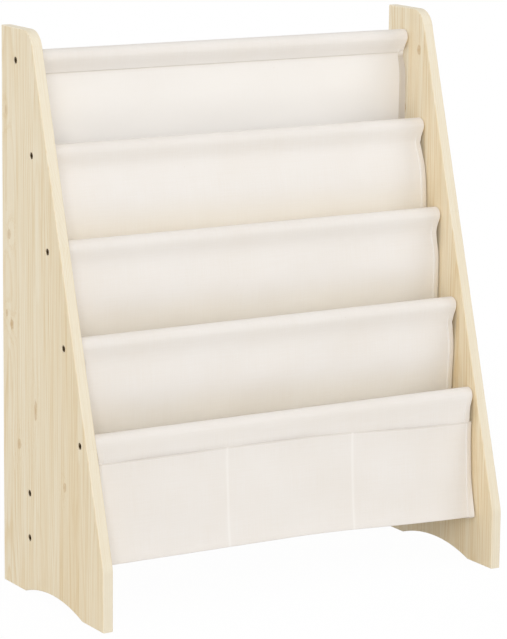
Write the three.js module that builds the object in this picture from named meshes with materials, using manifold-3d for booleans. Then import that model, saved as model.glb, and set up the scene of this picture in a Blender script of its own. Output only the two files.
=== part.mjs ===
// A child's sling bookshelf: two pine side panels, seven dowels bolted between them,
// and a canvas sling whose sleeves slide over the dowels.
// Millimetres, +Z up. The shelf stands on z = 0, its front faces -Y, and x = 0 is its middle.

import * as THREE from "three";
import { mergeVertices } from "three/addons/utils/BufferGeometryUtils.js";
import Module from "manifold-3d";

const wasm = await Module();
wasm.setup();

// Overall size
const shelfWidth = 620;
const shelfDepth = 280;
const shelfHeight = 750;

// Side panels
const panelThickness = 15;
const panelEdgeRadius = 1.5;
const topFlatDepth = 82;
const topCornerRadius = 28;
const frontUprightHeight = 82;
const frontKinkRadius = 40;
const frontFootDepth = 57;
const backFootDepth = 62;
const footArchRise = 13.5;

// Dowels: a row steps down and forward along the slanted front, two lie low at the back
const dowelRadius = 11;
const dowelChamfer = 1;
const topDowelFromBack = 40;
const topDowelFromTop = 42.4;
const frontDowelFromFront = 63.2;
const frontDowelHeight = 232;
const rearDowelFromBack = 75.5;
const upperRearDowelHeight = 137.3;
const lowerRearDowelHeight = 76.4;

// Bolts and the threaded inserts that they pull on
const boltRadius = 2.5;
const boltLength = 26;
const boltTipChamfer = 0.6;
const boltHeadRadius = 4.25;
const boltHeadHeight = 5;
const boltHeadChamfer = 0.5;
const socketAcrossFlats = 4;
const socketSides = 6;
const socketDepth = 2.6;
const headRecess = 1.3;
const insertRadius = 4.4;
const insertLength = 13;
const dowelBoreDepth = 30;

// Clearances
const seatClearance = 0.3;
const headClearance = 0.35;
const cutOverrun = 1;

// Canvas
const clothThickness = 1.2;
const clothSideGap = 2;
const sleeveSlack = 0.25;
const sleeveTail = 8.65;
const hangingSeamLean = THREE.MathUtils.degToRad(18.8);
const rearSeamLean = THREE.MathUtils.degToRad(64.7);
const seamAllowance = 10;
const seamBelowDowel = 6;
const seamGap = 0.3;
const pocketGaps = [7.25, 19.85, 25.15];
const pocketBottomSag = 17;
const belly = 4;
const ripple = 0.8;
const rippleHalfWaves = 3;
const heldEndsPower = 4;
const sagOfPullShare = 3 / 4;
const plyFootPullShare = 1 / 3;
const plyTopPullShare = 1 / 5;

// The bottom pocket and the three small pockets on its front
const bottomFoldHeight = 72;
const bottomFoldDepth = 43.6;
const bottomFoldRadius = 3;
const bottomFloorSag = 12;
const bottomBackSag = 34;
const smallPocketBelowDowel = 28.5;
const smallPocketCount = 3;
const smallPocketMouth = 8;
const frontPlyPullShare = 0.29;
const frontPlyTopLean = 5.4;
const frontPlyFootFlare = 8.4;
const bottomBackStraight = 29.7;
const bottomBackTurnShare = 0.6;
const floorPullShares = [1 / 3, 2 / 3];
const mouthFlarePower = 1.5;

// Facets: the sides of round pieces, the points of curves and the steps across the cloth
const dowelSides = 20;
const recessSides = 20;
const fastenerSides = 12;
const topCornerPoints = 8;
const frontKinkPoints = 3;
const archPoints = 14;
const sleeveArcPoints = 8;
const pocketPoints = { back: 4, bottom: 7, front: 5 };
const bottomPocketPoints = { backTop: 2, back: 9, front: 8, fold: 3, floor: 6 };
const clothSteps = 12;
const weldDistance = 0.0001;

const pine = new THREE.MeshStandardMaterial({ name: "pine", color: 0xe6d3a8, roughness: 0.55 });
const dowelWood = new THREE.MeshStandardMaterial({ name: "dowel_wood", color: 0xe2cda2, roughness: 0.6 });
const canvas = new THREE.MeshStandardMaterial({ name: "canvas", color: 0xefe8dc, roughness: 0.9 });
const darkSteel = new THREE.MeshStandardMaterial({
  name: "dark_steel",
  color: 0x3a3226,
  roughness: 0.45,
  metalness: 0.8,
});
const zinc = new THREE.MeshStandardMaterial({
  name: "zinc",
  color: 0xb9b7ae,
  roughness: 0.4,
  metalness: 0.9,
});

const shelf = new THREE.Group();

function addMesh(name, geometry, material, parent = shelf) {
  const mesh = new THREE.Mesh(geometry, material);
  mesh.name = name;
  parent.add(mesh);
  return mesh;
}

// Places in the side view are Vector2(y, z), with y = 0 at half the depth.
const frontY = -shelfDepth / 2;
const backY = shelfDepth / 2;
const fromFront = (depth, height) => new THREE.Vector2(frontY + depth, height);
const moved = (point, forward, down) => new THREE.Vector2(point.x - forward, point.y - down);

const topDowel = fromFront(shelfDepth - topDowelFromBack, shelfHeight - topDowelFromTop);
const frontDowel = fromFront(frontDowelFromFront, frontDowelHeight);
const dowelRow = ["top", "second", "third", "fourth", "front"];
const frontDowels = dowelRow.map((_, i) => topDowel.clone().lerp(frontDowel, i / (dowelRow.length - 1)));
const upperRearDowel = fromFront(shelfDepth - rearDowelFromBack, upperRearDowelHeight);
const lowerRearDowel = fromFront(shelfDepth - rearDowelFromBack, lowerRearDowelHeight);
const dowels = {
  ...Object.fromEntries(dowelRow.map((name, i) => [name, frontDowels[i]])),
  upper_rear: upperRearDowel,
  lower_rear: lowerRearDowel,
};

// Turns a side view drawn in (y, z) and extruded along its own z into one that runs along x.
const sideToWorld = new THREE.Matrix4().makeBasis(
  new THREE.Vector3(0, 1, 0),
  new THREE.Vector3(0, 0, 1),
  new THREE.Vector3(1, 0, 0),
);

function solidOf(geometry) {
  const bare = geometry.clone();
  bare.deleteAttribute("normal");
  bare.deleteAttribute("uv");
  const merged = mergeVertices(bare, weldDistance);
  return new wasm.Manifold(
    new wasm.Mesh({
      numProp: 3,
      vertProperties: new Float32Array(merged.attributes.position.array),
      triVerts: new Uint32Array(merged.index.array),
    }),
  );
}

function geometryOf(solid) {
  const mesh = solid.getMesh();
  const geometry = new THREE.BufferGeometry();
  geometry.setAttribute("position", new THREE.BufferAttribute(mesh.vertProperties, 3));
  geometry.setIndex(new THREE.BufferAttribute(mesh.triVerts, 1));
  const flat = geometry.toNonIndexed();
  flat.computeVertexNormals();
  return flat;
}

// A round cutter along x, from x0 to x1 at the side-view place (y, z)
function cylinderAlongX(radius, x0, x1, place, sideCount) {
  const geometry = new THREE.CylinderGeometry(radius, radius, x1 - x0, sideCount);
  geometry.rotateZ(-Math.PI / 2);
  geometry.translate((x0 + x1) / 2, place.x, place.y);
  return solidOf(geometry);
}

// Side panels
// Rounds the corner between two straight edges by a tangent arc.
function roundCorner(path, before, corner, after, radius, arcPoints) {
  const toBefore = before.clone().sub(corner).normalize();
  const toAfter = after.clone().sub(corner).normalize();
  const half = Math.acos(toBefore.dot(toAfter)) / 2;
  const tangent = radius / Math.tan(half);
  const bisector = toBefore.clone().add(toAfter).normalize();
  const centre = corner.clone().addScaledVector(bisector, radius / Math.sin(half));
  const start = corner.clone().addScaledVector(toBefore, tangent);
  const end = corner.clone().addScaledVector(toAfter, tangent);
  const startAngle = Math.atan2(start.y - centre.y, start.x - centre.x);
  const endAngle = Math.atan2(end.y - centre.y, end.x - centre.x);
  const sweep = Math.atan2(Math.sin(endAngle - startAngle), Math.cos(endAngle - startAngle));
  for (let i = 0; i <= arcPoints; i++) {
    const angle = startAngle + (sweep * i) / arcPoints;
    path.push(new THREE.Vector2(Math.cos(angle), Math.sin(angle)).multiplyScalar(radius).add(centre));
  }
}

function panelOutline() {
  const backBottom = fromFront(shelfDepth, 0);
  const backTop = fromFront(shelfDepth, shelfHeight);
  const frontTop = fromFront(shelfDepth - topFlatDepth, shelfHeight);
  const frontKink = fromFront(0, frontUprightHeight);
  const frontBottom = fromFront(0, 0);
  const points = [backBottom, backTop];
  roundCorner(points, backTop, frontTop, frontKink, topCornerRadius, topCornerPoints);
  roundCorner(points, frontTop, frontKink, frontBottom, frontKinkRadius, frontKinkPoints);
  points.push(frontBottom);

  // The arch between the feet is one shallow arc through its two ends and its crown.
  const archStart = frontY + frontFootDepth;
  const archEnd = backY - backFootDepth;
  const halfSpan = (archEnd - archStart) / 2;
  const archRadius = (halfSpan ** 2 + footArchRise ** 2) / (2 * footArchRise);
  for (let i = 0; i <= archPoints; i++) {
    const along = -halfSpan * Math.cos((Math.PI * i) / archPoints);
    const rise = Math.sqrt(archRadius ** 2 - along ** 2) - (archRadius - footArchRise);
    points.push(new THREE.Vector2((archStart + archEnd) / 2 + along, i % archPoints ? rise : 0));
  }
  return points;
}

const counterboreRadius = boltHeadRadius + headClearance;
const counterboreDepth = boltHeadHeight + headRecess;
const boltHoleRadius = boltRadius + seatClearance;

// Left and right as seen from the front, and which way along x each of them lies
const sides = { left: -1, right: 1 };

function sidePanel(side) {
  const geometry = new THREE.ExtrudeGeometry(new THREE.Shape(panelOutline()), {
    depth: panelThickness - 2 * panelEdgeRadius,
    bevelThickness: panelEdgeRadius,
    bevelSize: panelEdgeRadius,
    bevelOffset: -panelEdgeRadius,
    bevelSegments: 2,
    curveSegments: 1,
  });
  geometry.applyMatrix4(sideToWorld);
  const outerX = (side * shelfWidth) / 2;
  const innerX = outerX - side * panelThickness;
  geometry.translate(Math.min(outerX, innerX) + panelEdgeRadius, 0, 0);
  let solid = solidOf(geometry);
  for (const place of Object.values(dowels)) {
    const through = [outerX + side * cutOverrun, innerX - side * cutOverrun].sort((a, b) => a - b);
    const recess = [outerX + side * cutOverrun, outerX - side * counterboreDepth].sort((a, b) => a - b);
    solid = solid.subtract(cylinderAlongX(boltHoleRadius, ...through, place, fastenerSides));
    solid = solid.subtract(cylinderAlongX(counterboreRadius, ...recess, place, recessSides));
  }
  return geometryOf(solid);
}

// Dowels, inserts and bolts
// A profile of [radius, distance along y] points turned about y
function turned(profile, sideCount) {
  const points = profile.map(([radius, along]) => new THREE.Vector2(radius, along));
  return solidOf(new THREE.LatheGeometry(points, sideCount));
}

// Stands a turned piece along x: its own +y points away from the middle of the shelf.
function placeAlongX(mesh, side, x, place) {
  mesh.rotation.z = -side * (Math.PI / 2);
  mesh.position.set(x, place.x, place.y);
}

const innerFaceX = shelfWidth / 2 - panelThickness;
const dowelHalf = innerFaceX - seatClearance;
const insertBoreRadius = insertRadius + seatClearance;

function dowelGeometry() {
  const boreEnd = dowelHalf - dowelBoreDepth;
  const half = [
    [0, boreEnd],
    [insertBoreRadius, boreEnd],
    [insertBoreRadius, dowelHalf],
    [dowelRadius - dowelChamfer, dowelHalf],
    [dowelRadius, dowelHalf - dowelChamfer],
  ];
  const otherHalf = half.map(([radius, along]) => [radius, -along]);
  return geometryOf(turned([...otherHalf, ...half.reverse()], dowelSides));
}

// The insert lies level with the dowel's end, and the bolt's thread runs in its bore.
function insertGeometry() {
  const bore = boltRadius + seatClearance;
  const profile = [
    [bore, -insertLength],
    [insertRadius, -insertLength],
    [insertRadius, 0],
    [bore, 0],
    [bore, -insertLength],
  ];
  return geometryOf(turned(profile, fastenerSides));
}

// The bolt's origin is the underside of its head, which seats on the floor of the counterbore.
function boltGeometry() {
  const body = turned(
    [
      [0, -boltLength],
      [boltRadius - boltTipChamfer, -boltLength],
      [boltRadius, boltTipChamfer - boltLength],
      [boltRadius, 0],
      [boltHeadRadius, 0],
      [boltHeadRadius, boltHeadHeight - boltHeadChamfer],
      [boltHeadRadius - boltHeadChamfer, boltHeadHeight],
      [0, boltHeadHeight],
    ],
    fastenerSides,
  );
  const corner = socketAcrossFlats / 2 / Math.cos(Math.PI / socketSides);
  const socket = new THREE.CylinderGeometry(corner, corner, socketDepth + cutOverrun, socketSides);
  socket.translate(0, boltHeadHeight - socketDepth + (socketDepth + cutOverrun) / 2, 0);
  return geometryOf(body.subtract(solidOf(socket)));
}

for (const [name, side] of Object.entries(sides)) {
  addMesh(`side_panel_${name}`, sidePanel(side), pine);
}
for (const [which, place] of Object.entries(dowels)) {
  placeAlongX(addMesh(`${which}_dowel`, dowelGeometry(), dowelWood), 1, 0, place);
  for (const [name, side] of Object.entries(sides)) {
    const insert = addMesh(`${which}_insert_${name}`, insertGeometry(), zinc);
    placeAlongX(insert, side, side * dowelHalf, place);
    const bolt = addMesh(`${which}_bolt_${name}`, boltGeometry(), darkSteel);
    const headSeat = shelfWidth / 2 - counterboreDepth + seatClearance;
    placeAlongX(bolt, side, side * headSeat, place);
  }
}

// Canvas sling
const clothHalfWidth = innerFaceX - clothSideGap;
const sleeveInner = dowelRadius + sleeveSlack;
const sleeveOuter = sleeveInner + clothThickness;
const layerStep = clothThickness + seamGap;

// A sleeve lies round its dowel and closes at the seam, which is where its ply leaves: below the
// dowel and leaning forward from straight down.
function sleeveOn(centre, lean) {
  const reach = sleeveOuter + sleeveTail;
  return { centre, seam: moved(centre, reach * Math.sin(lean), reach * Math.cos(lean)) };
}
const hangingSleeve = (centre) => sleeveOn(centre, hangingSeamLean);
const rearSleeve = (centre) => sleeveOn(centre, rearSeamLean);

// The loop of a sleeve, from one side of its seam round the dowel to the other, clockwise. The
// middles of its flats lie at the radius, so that the round dowel fits inside.
function sleeveLoop({ centre, seam }, radius) {
  const away = seam.clone().sub(centre);
  const seamAngle = Math.atan2(away.y, away.x);
  const spread = Math.acos(sleeveOuter / away.length());
  const step = (2 * Math.PI - 2 * spread) / sleeveArcPoints;
  const corner = radius / Math.cos(step / 2);
  const loop = [];
  for (let i = 0; i <= sleeveArcPoints; i++) {
    const angle = seamAngle - spread - i * step;
    loop.push(new THREE.Vector2(Math.cos(angle), Math.sin(angle)).multiplyScalar(corner).add(centre));
  }
  return loop;
}

// The room inside a sleeve, wound the other way round from the section that it is cut from
function sleeveHole(sleeve) {
  const loop = sleeveLoop(sleeve, sleeveInner);
  const tip = sleeve.seam.clone().sub(sleeve.centre).multiplyScalar(sleeveInner / sleeveOuter);
  return new THREE.Path([...loop, tip.add(sleeve.centre)].reverse());
}

// A line of points moved sideways: to its left for a positive distance, to its right for a
// negative one.
function offsetLine(line, distance) {
  return line.map((point, i) => {
    const before = line[Math.max(i - 1, 0)];
    const after = line[Math.min(i + 1, line.length - 1)];
    const along = after.clone().sub(before).normalize();
    return new THREE.Vector2(-along.y, along.x).multiplyScalar(distance).add(point);
  });
}

// The section of one length of cloth: its centre line thickened to both sides, with a sleeve
// at the start, at the end, at both or at neither.
function clothSection(line, startSleeve, endSleeve) {
  const left = offsetLine(line, clothThickness / 2);
  const right = offsetLine(line, -clothThickness / 2);
  const endLoop = endSleeve ? sleeveLoop(endSleeve, sleeveOuter) : [];
  const startLoop = startSleeve ? sleeveLoop(startSleeve, sleeveOuter) : [];
  const shape = new THREE.Shape([...left, ...endLoop, ...right.reverse(), ...startLoop]);
  shape.holes = [startSleeve, endSleeve].filter(Boolean).map(sleeveHole);
  return shape;
}

// How far the empty cloth bellies forward at x and height: most in the middle of each stretch
// between two sleeves, and nothing at the sleeves and at the cloth's two ends.
const stretchEnds = frontDowels.slice(1).map((dowel) => dowel.y + sleeveOuter);
stretchEnds.push(bottomFoldHeight + bottomFoldRadius);
const stretches = frontDowels.map((dowel, i) => ({
  top: hangingSleeve(dowel).seam.y,
  bottom: stretchEnds[i],
}));
const bottomStretch = stretches.at(-1);
const rearSeamY = rearSleeve(upperRearDowel).seam.x;

function forwardOf(x, y, z) {
  const stretch = stretches.find(({ top, bottom }) => z < top && z > bottom);
  if (!stretch) return 0;
  const share = (stretch.top - z) / (stretch.top - stretch.bottom);
  const across = x / clothHalfWidth;
  const endsHeld = 1 - across ** heldEndsPower;
  const folds = belly + ripple * Math.cos(Math.PI * rippleHalfWaves * across);
  const rearHeld =
    stretch === bottomStretch
      ? 1 - THREE.MathUtils.smoothstep(y, dowels.fourth.x, rearSeamY)
      : 1;
  return folds * endsHeld * rearHeld * Math.sin(Math.PI * share) ** 2;
}

// Draws a section out across the shelf and lets the cloth belly forward.
function clothGeometry(section, extraForward = () => 0) {
  const extruded = new THREE.ExtrudeGeometry(section, {
    depth: 2 * clothHalfWidth,
    steps: clothSteps,
    bevelEnabled: false,
    curveSegments: 1,
  });
  extruded.applyMatrix4(sideToWorld);
  extruded.translate(-clothHalfWidth, 0, 0);
  const position = extruded.attributes.position;
  for (let i = 0; i < position.count; i++) {
    const [x, y, z] = [position.getX(i), position.getY(i), position.getZ(i)];
    position.setY(i, y - forwardOf(x, y, z) - extraForward(x, z));
  }
  extruded.computeVertexNormals();
  return extruded;
}

const curve = (start, startPull, endPull, end, points) =>
  new THREE.CubicBezierCurve(start, startPull, endPull, end).getPoints(points);

const straight = (start, end, points) => new THREE.LineCurve(start, end).getPoints(points);

// Joins curves whose ends meet into one line of points.
const joined = (...parts) => parts.flatMap((points, i) => (i ? points.slice(1) : points));

// Where the front ply of each upper pocket passes behind the next dowel, and is seamed
const pocketSeams = pocketGaps.map((gap, i) =>
  moved(frontDowels[i + 2], -(sleeveOuter + gap), seamBelowDowel),
);

// Pocket i hangs between dowel i and dowel i + 1. The first is held by a sleeve at its back,
// and each other one by a seam on the pocket behind it.
function pocketSling(i) {
  const endSleeve = hangingSleeve(frontDowels[i + 1]);
  const seamTop = pocketSeams[i];
  const frontFoot = moved(seamTop, 0, seamAllowance);
  const startSleeve = i === 0 ? hangingSleeve(frontDowels[0]) : null;
  const start = i === 0 ? startSleeve.seam : moved(pocketSeams[i - 1], layerStep, 0);
  const backFoot = new THREE.Vector2(start.x, frontFoot.y);
  const pull = pocketBottomSag / sagOfPullShare;
  const ply = endSleeve.seam.clone().sub(seamTop);
  const plyFootPull = moved(seamTop, 0, -ply.length() * plyFootPullShare);
  const plyTopPull = moved(endSleeve.seam, ply.x * plyFootPullShare, ply.length() * plyTopPullShare);
  const line = joined(
    straight(start, backFoot, pocketPoints.back),
    curve(backFoot, moved(backFoot, 0, pull), moved(frontFoot, 0, pull), frontFoot, pocketPoints.bottom),
    [frontFoot, seamTop],
    curve(seamTop, plyFootPull, plyTopPull, endSleeve.seam, pocketPoints.front),
  );
  return clothGeometry(clothSection(line, startSleeve, endSleeve));
}

addMesh("top_pocket_sling", pocketSling(0), canvas);
addMesh("second_pocket_sling", pocketSling(1), canvas);
addMesh("third_pocket_sling", pocketSling(2), canvas);

// The bottom pocket's back hangs from the seam on the third pocket and runs back to a sleeve
// on the upper rear dowel.
function bottomPocketBack() {
  const start = moved(pocketSeams[2], layerStep, 0);
  const straightEnd = moved(start, 0, bottomBackStraight);
  const sleeve = rearSleeve(upperRearDowel);
  const low = sleeve.seam.y - bottomBackSag;
  const turn = new THREE.Vector2(straightEnd.clone().lerp(sleeve.seam, bottomBackTurnShare).x, low);
  const line = joined(
    straight(start, straightEnd, bottomPocketPoints.backTop),
    curve(straightEnd, new THREE.Vector2(straightEnd.x, low), turn, sleeve.seam, bottomPocketPoints.back),
  );
  return clothGeometry(clothSection(line, null, sleeve));
}

addMesh("bottom_pocket_back", bottomPocketBack(), canvas);

// The bottom pocket's front hangs from the front dowel, turns under at a pressed fold and
// runs back as the pocket's floor to the lower rear dowel.
const frontSleeve = hangingSleeve(dowels.front);
const floorSleeve = rearSleeve(lowerRearDowel);
const foldTop = fromFront(bottomFoldDepth, bottomFoldHeight + bottomFoldRadius);
const foldEnd = moved(foldTop, -bottomFoldRadius, bottomFoldRadius);
const foldPull = bottomFoldRadius / 2;
const foldStartPull = moved(foldTop, 0, foldPull);
const foldEndPull = moved(foldEnd, foldPull, 0);
const floorLow = floorSleeve.seam.y - bottomFloorSag;
const floorPulls = floorPullShares.map(
  (share) => new THREE.Vector2(foldEnd.clone().lerp(floorSleeve.seam, share).x, floorLow),
);
const frontPlyPull = frontPlyPullShare * (frontSleeve.seam.y - foldTop.y);
const frontPly = curve(
  frontSleeve.seam,
  moved(frontSleeve.seam, -frontPlyTopLean, frontPlyPull),
  moved(foldTop, -frontPlyFootFlare, -frontPlyPull),
  foldTop,
  bottomPocketPoints.front,
);
const bottomLine = joined(
  frontPly,
  curve(foldTop, foldStartPull, foldEndPull, foldEnd, bottomPocketPoints.fold),
  curve(foldEnd, ...floorPulls, floorSleeve.seam, bottomPocketPoints.floor),
);

addMesh(
  "bottom_pocket_front",
  clothGeometry(clothSection(bottomLine, frontSleeve, floorSleeve)),
  canvas,
);

// A strip sewn to the front along its foot, its ends and upright seams makes the small
// pockets. Between the seams its top edge stands open.
function smallPockets() {
  const topHeight = dowels.front.y - smallPocketBelowDowel;
  const layer = offsetLine(bottomLine, -layerStep).slice(0, frontPly.length);
  const first = layer.findIndex((point) => point.y < topHeight);
  const [above, below] = [layer[first - 1], layer[first]];
  const topPoint = above.clone().lerp(below, (above.y - topHeight) / (above.y - below.y));
  const line = [topPoint, ...layer.slice(first)];
  const openBy = (x, z) => {
    const up = Math.max(0, (z - foldTop.y) / (topHeight - foldTop.y));
    const across = (smallPocketCount * (x + clothHalfWidth)) / (2 * clothHalfWidth);
    return smallPocketMouth * up ** mouthFlarePower * Math.sin(Math.PI * across) ** 2;
  };
  return clothGeometry(clothSection(line), openBy);
}

addMesh("small_pocket_strip", smallPockets(), canvas);

export default shelf;
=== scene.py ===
# %% [markdown]
# # A sling bookshelf
#
# Two pine panels stand on edge, seven dowels are bolted between them, and a canvas sling hangs on
# the dowels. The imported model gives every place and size, in metres, with z up. This script
# dresses it: it keeps each piece where the model has it and gives it a finer shape and a finish.

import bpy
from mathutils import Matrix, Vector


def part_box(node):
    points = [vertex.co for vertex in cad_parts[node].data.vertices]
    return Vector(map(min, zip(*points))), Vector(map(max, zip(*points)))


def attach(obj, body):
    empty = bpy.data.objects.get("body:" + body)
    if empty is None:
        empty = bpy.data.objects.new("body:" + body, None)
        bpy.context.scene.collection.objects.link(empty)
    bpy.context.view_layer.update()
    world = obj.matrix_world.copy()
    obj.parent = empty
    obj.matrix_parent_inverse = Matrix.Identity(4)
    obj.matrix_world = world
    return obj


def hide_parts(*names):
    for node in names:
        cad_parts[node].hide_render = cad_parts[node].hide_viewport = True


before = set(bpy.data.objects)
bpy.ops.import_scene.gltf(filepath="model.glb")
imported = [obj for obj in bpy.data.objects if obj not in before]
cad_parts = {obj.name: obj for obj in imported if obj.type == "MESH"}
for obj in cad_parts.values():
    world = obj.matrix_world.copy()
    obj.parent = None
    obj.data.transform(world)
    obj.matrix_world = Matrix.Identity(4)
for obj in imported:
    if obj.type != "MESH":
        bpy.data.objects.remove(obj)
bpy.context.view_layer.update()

# %% [markdown]
# Lengths are written in millimetres times MM, because the shelf's drawings are in millimetres and
# Blender works in metres. Places in the side view are pairs (y, z), as numpy arrays, so that a
# whole line of them can be moved or turned at once.

# %% Units and the places of the dowels
import math

import bmesh
import bpy
import numpy as np
from mathutils import Matrix, Vector, noise

MM = 0.001
DOWEL_NAMES = ("top", "second", "third", "fourth", "front", "upper_rear", "lower_rear")
SIDES = {"left": -1, "right": 1}


def corners(node):
    low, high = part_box(node)
    return np.array(low), np.array(high)


def middle(node):
    low, high = corners(node)
    return (low + high) / 2


dowel_places = {name: middle(f"{name}_dowel")[1:] for name in DOWEL_NAMES}
dowel_low, dowel_high = corners("top_dowel")
dowel_radius = (dowel_high[2] - dowel_low[2]) / 2
dowel_half_length = dowel_high[0]
panel_low, panel_high = corners("side_panel_right")
panel_thickness, panel_depth, panel_height = panel_high - panel_low
front_y = panel_low[1]
cloth_half_width = corners("top_pocket_sling")[1][0]
print("dowel radius", round(dowel_radius, 4), "cloth half width", round(cloth_half_width, 4))

# %% [markdown]
# The camera stands to the left of the shelf and looks slightly down, from far away through a long
# lens, which keeps the uprights nearly parallel. Its place was found from the corners of the
# panels and the bolt holes. A camera looks along its own -z, so its matrix is built from the
# three directions right, up and back.

# %% Camera
CAMERA_PLACE = Vector((-2.0936, -3.4469, 1.1832))
CAMERA_YAW = math.radians(31.203)
CAMERA_DOWN = math.radians(11.628)
CAMERA_ROLL = math.radians(0.628)
LENS = 172.99
SENSOR = 36


def camera_directions(yaw, down, roll):
    forward = Vector((math.sin(yaw) * math.cos(down), math.cos(yaw) * math.cos(down), -math.sin(down)))
    level_right = Vector((math.cos(yaw), -math.sin(yaw), 0))
    level_up = level_right.cross(forward)
    right = level_right * math.cos(roll) + level_up * math.sin(roll)
    up = level_up * math.cos(roll) - level_right * math.sin(roll)
    return right, up, -forward


lens = bpy.data.cameras.new("camera")
lens.lens = LENS
lens.sensor_width = SENSOR
camera = bpy.data.objects.new("camera", lens)
bpy.context.scene.collection.objects.link(camera)
axes = camera_directions(CAMERA_YAW, CAMERA_DOWN, CAMERA_ROLL)
camera.matrix_world = Matrix.Translation(CAMERA_PLACE) @ Matrix(axes).transposed().to_4x4()
bpy.context.scene.camera = camera
print("camera to shelf", round(CAMERA_PLACE.length, 2), "m")

# %% [markdown]
# Materials are networks of nodes. Writing them node by node hides the idea, so one small class
# wraps a node's output: adding, multiplying or comparing two of them adds the Math node that does
# it. Colours and vectors would turn grey in a Math node, so they go through Mix and Vector Math.


# %% Sums of node outputs
class Wire:
    """The output of a node in a finish"""

    def __init__(self, finish, socket):
        self.finish = finish
        self.socket = socket

    def maths(self, operation, *others):
        values = dict(enumerate((self, *others)))
        return self.finish.node("ShaderNodeMath", {"operation": operation}, values)

    def __add__(self, other):
        return self.maths("ADD", other)

    def __sub__(self, other):
        return self.maths("SUBTRACT", other)

    def __mul__(self, other):
        return self.maths("MULTIPLY", other)

    def __truediv__(self, other):
        return self.maths("DIVIDE", other)

    def __rsub__(self, other):
        return self.finish.node("ShaderNodeMath", {"operation": "SUBTRACT"}, {0: other, 1: self})

    def __pow__(self, other):
        return self.maths("POWER", other)

    def __gt__(self, other):
        return self.maths("GREATER_THAN", other)

    __radd__ = __add__
    __rmul__ = __mul__

    def clipped(self):
        return self.maths("MAXIMUM", 0).maths("MINIMUM", 1)

    def above(self, start, gain):
        """How far the value lies above a start, times a gain, and kept from 0 to 1"""
        return ((self - start) * gain).clipped()


# %% [markdown]
# A second class holds the network itself. One method adds any node from its type, its settings
# and the values or wires of its sockets, and the others name what a finish needs often: clouds of
# noise, clouds drawn out into grain, a blend of two colours, a tint, and a bump.

# %% A finish and its patterns
WHITE = (1, 1, 1, 1)
# A Mix node has sockets for numbers, vectors and colours, and these are the ones for colours
MIX_FIRST, MIX_SECOND, MIX_RESULT = 6, 7, 2


class Finish:
    """The nodes of a material or a sky, written as sums of its patterns"""

    def __init__(self, owner):
        owner.use_nodes = True
        self.owner = owner
        self.tree = owner.node_tree
        self.tree.nodes.clear()

    def node(self, kind, settings=None, values=None, output=0):
        made = self.tree.nodes.new(kind)
        for name, value in (settings or {}).items():
            if name == "stops":
                self.set_stops(made.color_ramp.elements, value)
            else:
                setattr(made, name, value)
        for name, value in (values or {}).items():
            if isinstance(value, Wire):
                self.tree.links.new(value.socket, made.inputs[name])
            else:
                made.inputs[name].default_value = value
        return Wire(self, made.outputs[output]) if len(made.outputs) else made

    @staticmethod
    def set_stops(elements, stops):
        while len(elements) < len(stops):
            elements.new(0.5)
        for element, (position, colour) in zip(elements, stops):
            element.position = position
            element.color = colour

    def place(self):
        return self.node("ShaderNodeTexCoord", output="Object")

    def attribute(self, name, output="Fac"):
        return self.node("ShaderNodeAttribute", {"attribute_name": name}, output=output)

    def vector(self, x, y, z):
        return self.node("ShaderNodeCombineXYZ", {}, {0: x, 1: y, 2: z})

    def parts(self, vector):
        made = self.node("ShaderNodeSeparateXYZ", {}, {0: vector}).socket.node
        return [Wire(self, made.outputs[i]) for i in range(3)]

    def clouds(self, place, scale, detail=2.0, roughness=0.5):
        values = {"Vector": place, "Scale": scale, "Detail": detail, "Roughness": roughness}
        return self.node("ShaderNodeTexNoise", {}, values)

    def grain(self, parts, rates, detail=2.0, roughness=0.5):
        """Clouds drawn out along some directions: each rate says how fast they change that way"""
        place = self.vector(*[part * rate for part, rate in zip(parts, rates)])
        return self.clouds(place, 1.0, detail, roughness)

    def mixed(self, way, share, first, second):
        settings = {"data_type": "RGBA", "blend_type": way}
        values = {0: share, MIX_FIRST: first, MIX_SECOND: second}
        return self.node("ShaderNodeMix", settings, values, output=MIX_RESULT)

    def blend(self, share, first, second):
        return self.mixed("MIX", share, first, second)

    def tinted(self, share, colour, tint):
        return self.mixed("MULTIPLY", share, colour, tint)

    def bump(self, height, distance):
        return self.node("ShaderNodeBump", {}, {"Height": height, "Distance": distance})

    def surface(self, values):
        shader = self.node("ShaderNodeBsdfPrincipled", {}, values)
        self.node("ShaderNodeOutputMaterial", {}, {"Surface": shader})
        return self.owner


def new_finish(name):
    return Finish(bpy.data.materials.new(name))


def spectrum(red, green, blue):
    """A colour as a screen shows it, from 0 to 255, as the amounts of light that Blender mixes"""
    shares = [value / 255 for value in (red, green, blue)]
    linear = [s / 12.92 if s <= 0.04045 else ((s + 0.055) / 1.055) ** 2.4 for s in shares]
    return (*linear, 1)


print("a mid grey is", round(spectrum(128, 128, 128)[0], 3), "of white in light")

# %% [markdown]
# The studio is a wide pale floor under a white sky. The camera must see plain white behind the
# shelf, but a sky that bright would wash the wood out. So rays from the camera, and rays that
# metal reflects, meet white, and all the other rays meet a dimmer sky. The floor does the same
# for most of its colour. Near the shelf it keeps a share of the true shading, which leaves a soft
# shadow, and farther off it is white.

# %% Sky and floor
SKY_LIGHT = 0.56
FLOOR_SIZE = 30.0
FLOOR_BELOW = 0.2 * MM
FLOOR_COLOUR = spectrum(224, 222, 218)
SHADOW_SHARE = 0.03
SHADOW_REACH = 1.6
SHADOW_FADE_POWER = 0.5
SEEING_RAYS = ("Is Camera Ray", "Is Glossy Ray", "Is Transmission Ray")


def seen_directly(finish):
    """1 for rays that come from the camera or by way of a mirror or glass"""
    path = finish.node("ShaderNodeLightPath").socket.node
    camera_ray, mirror_ray, glass_ray = [Wire(finish, path.outputs[name]) for name in SEEING_RAYS]
    return camera_ray.maths("MAXIMUM", mirror_ray).maths("MAXIMUM", glass_ray)


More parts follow.
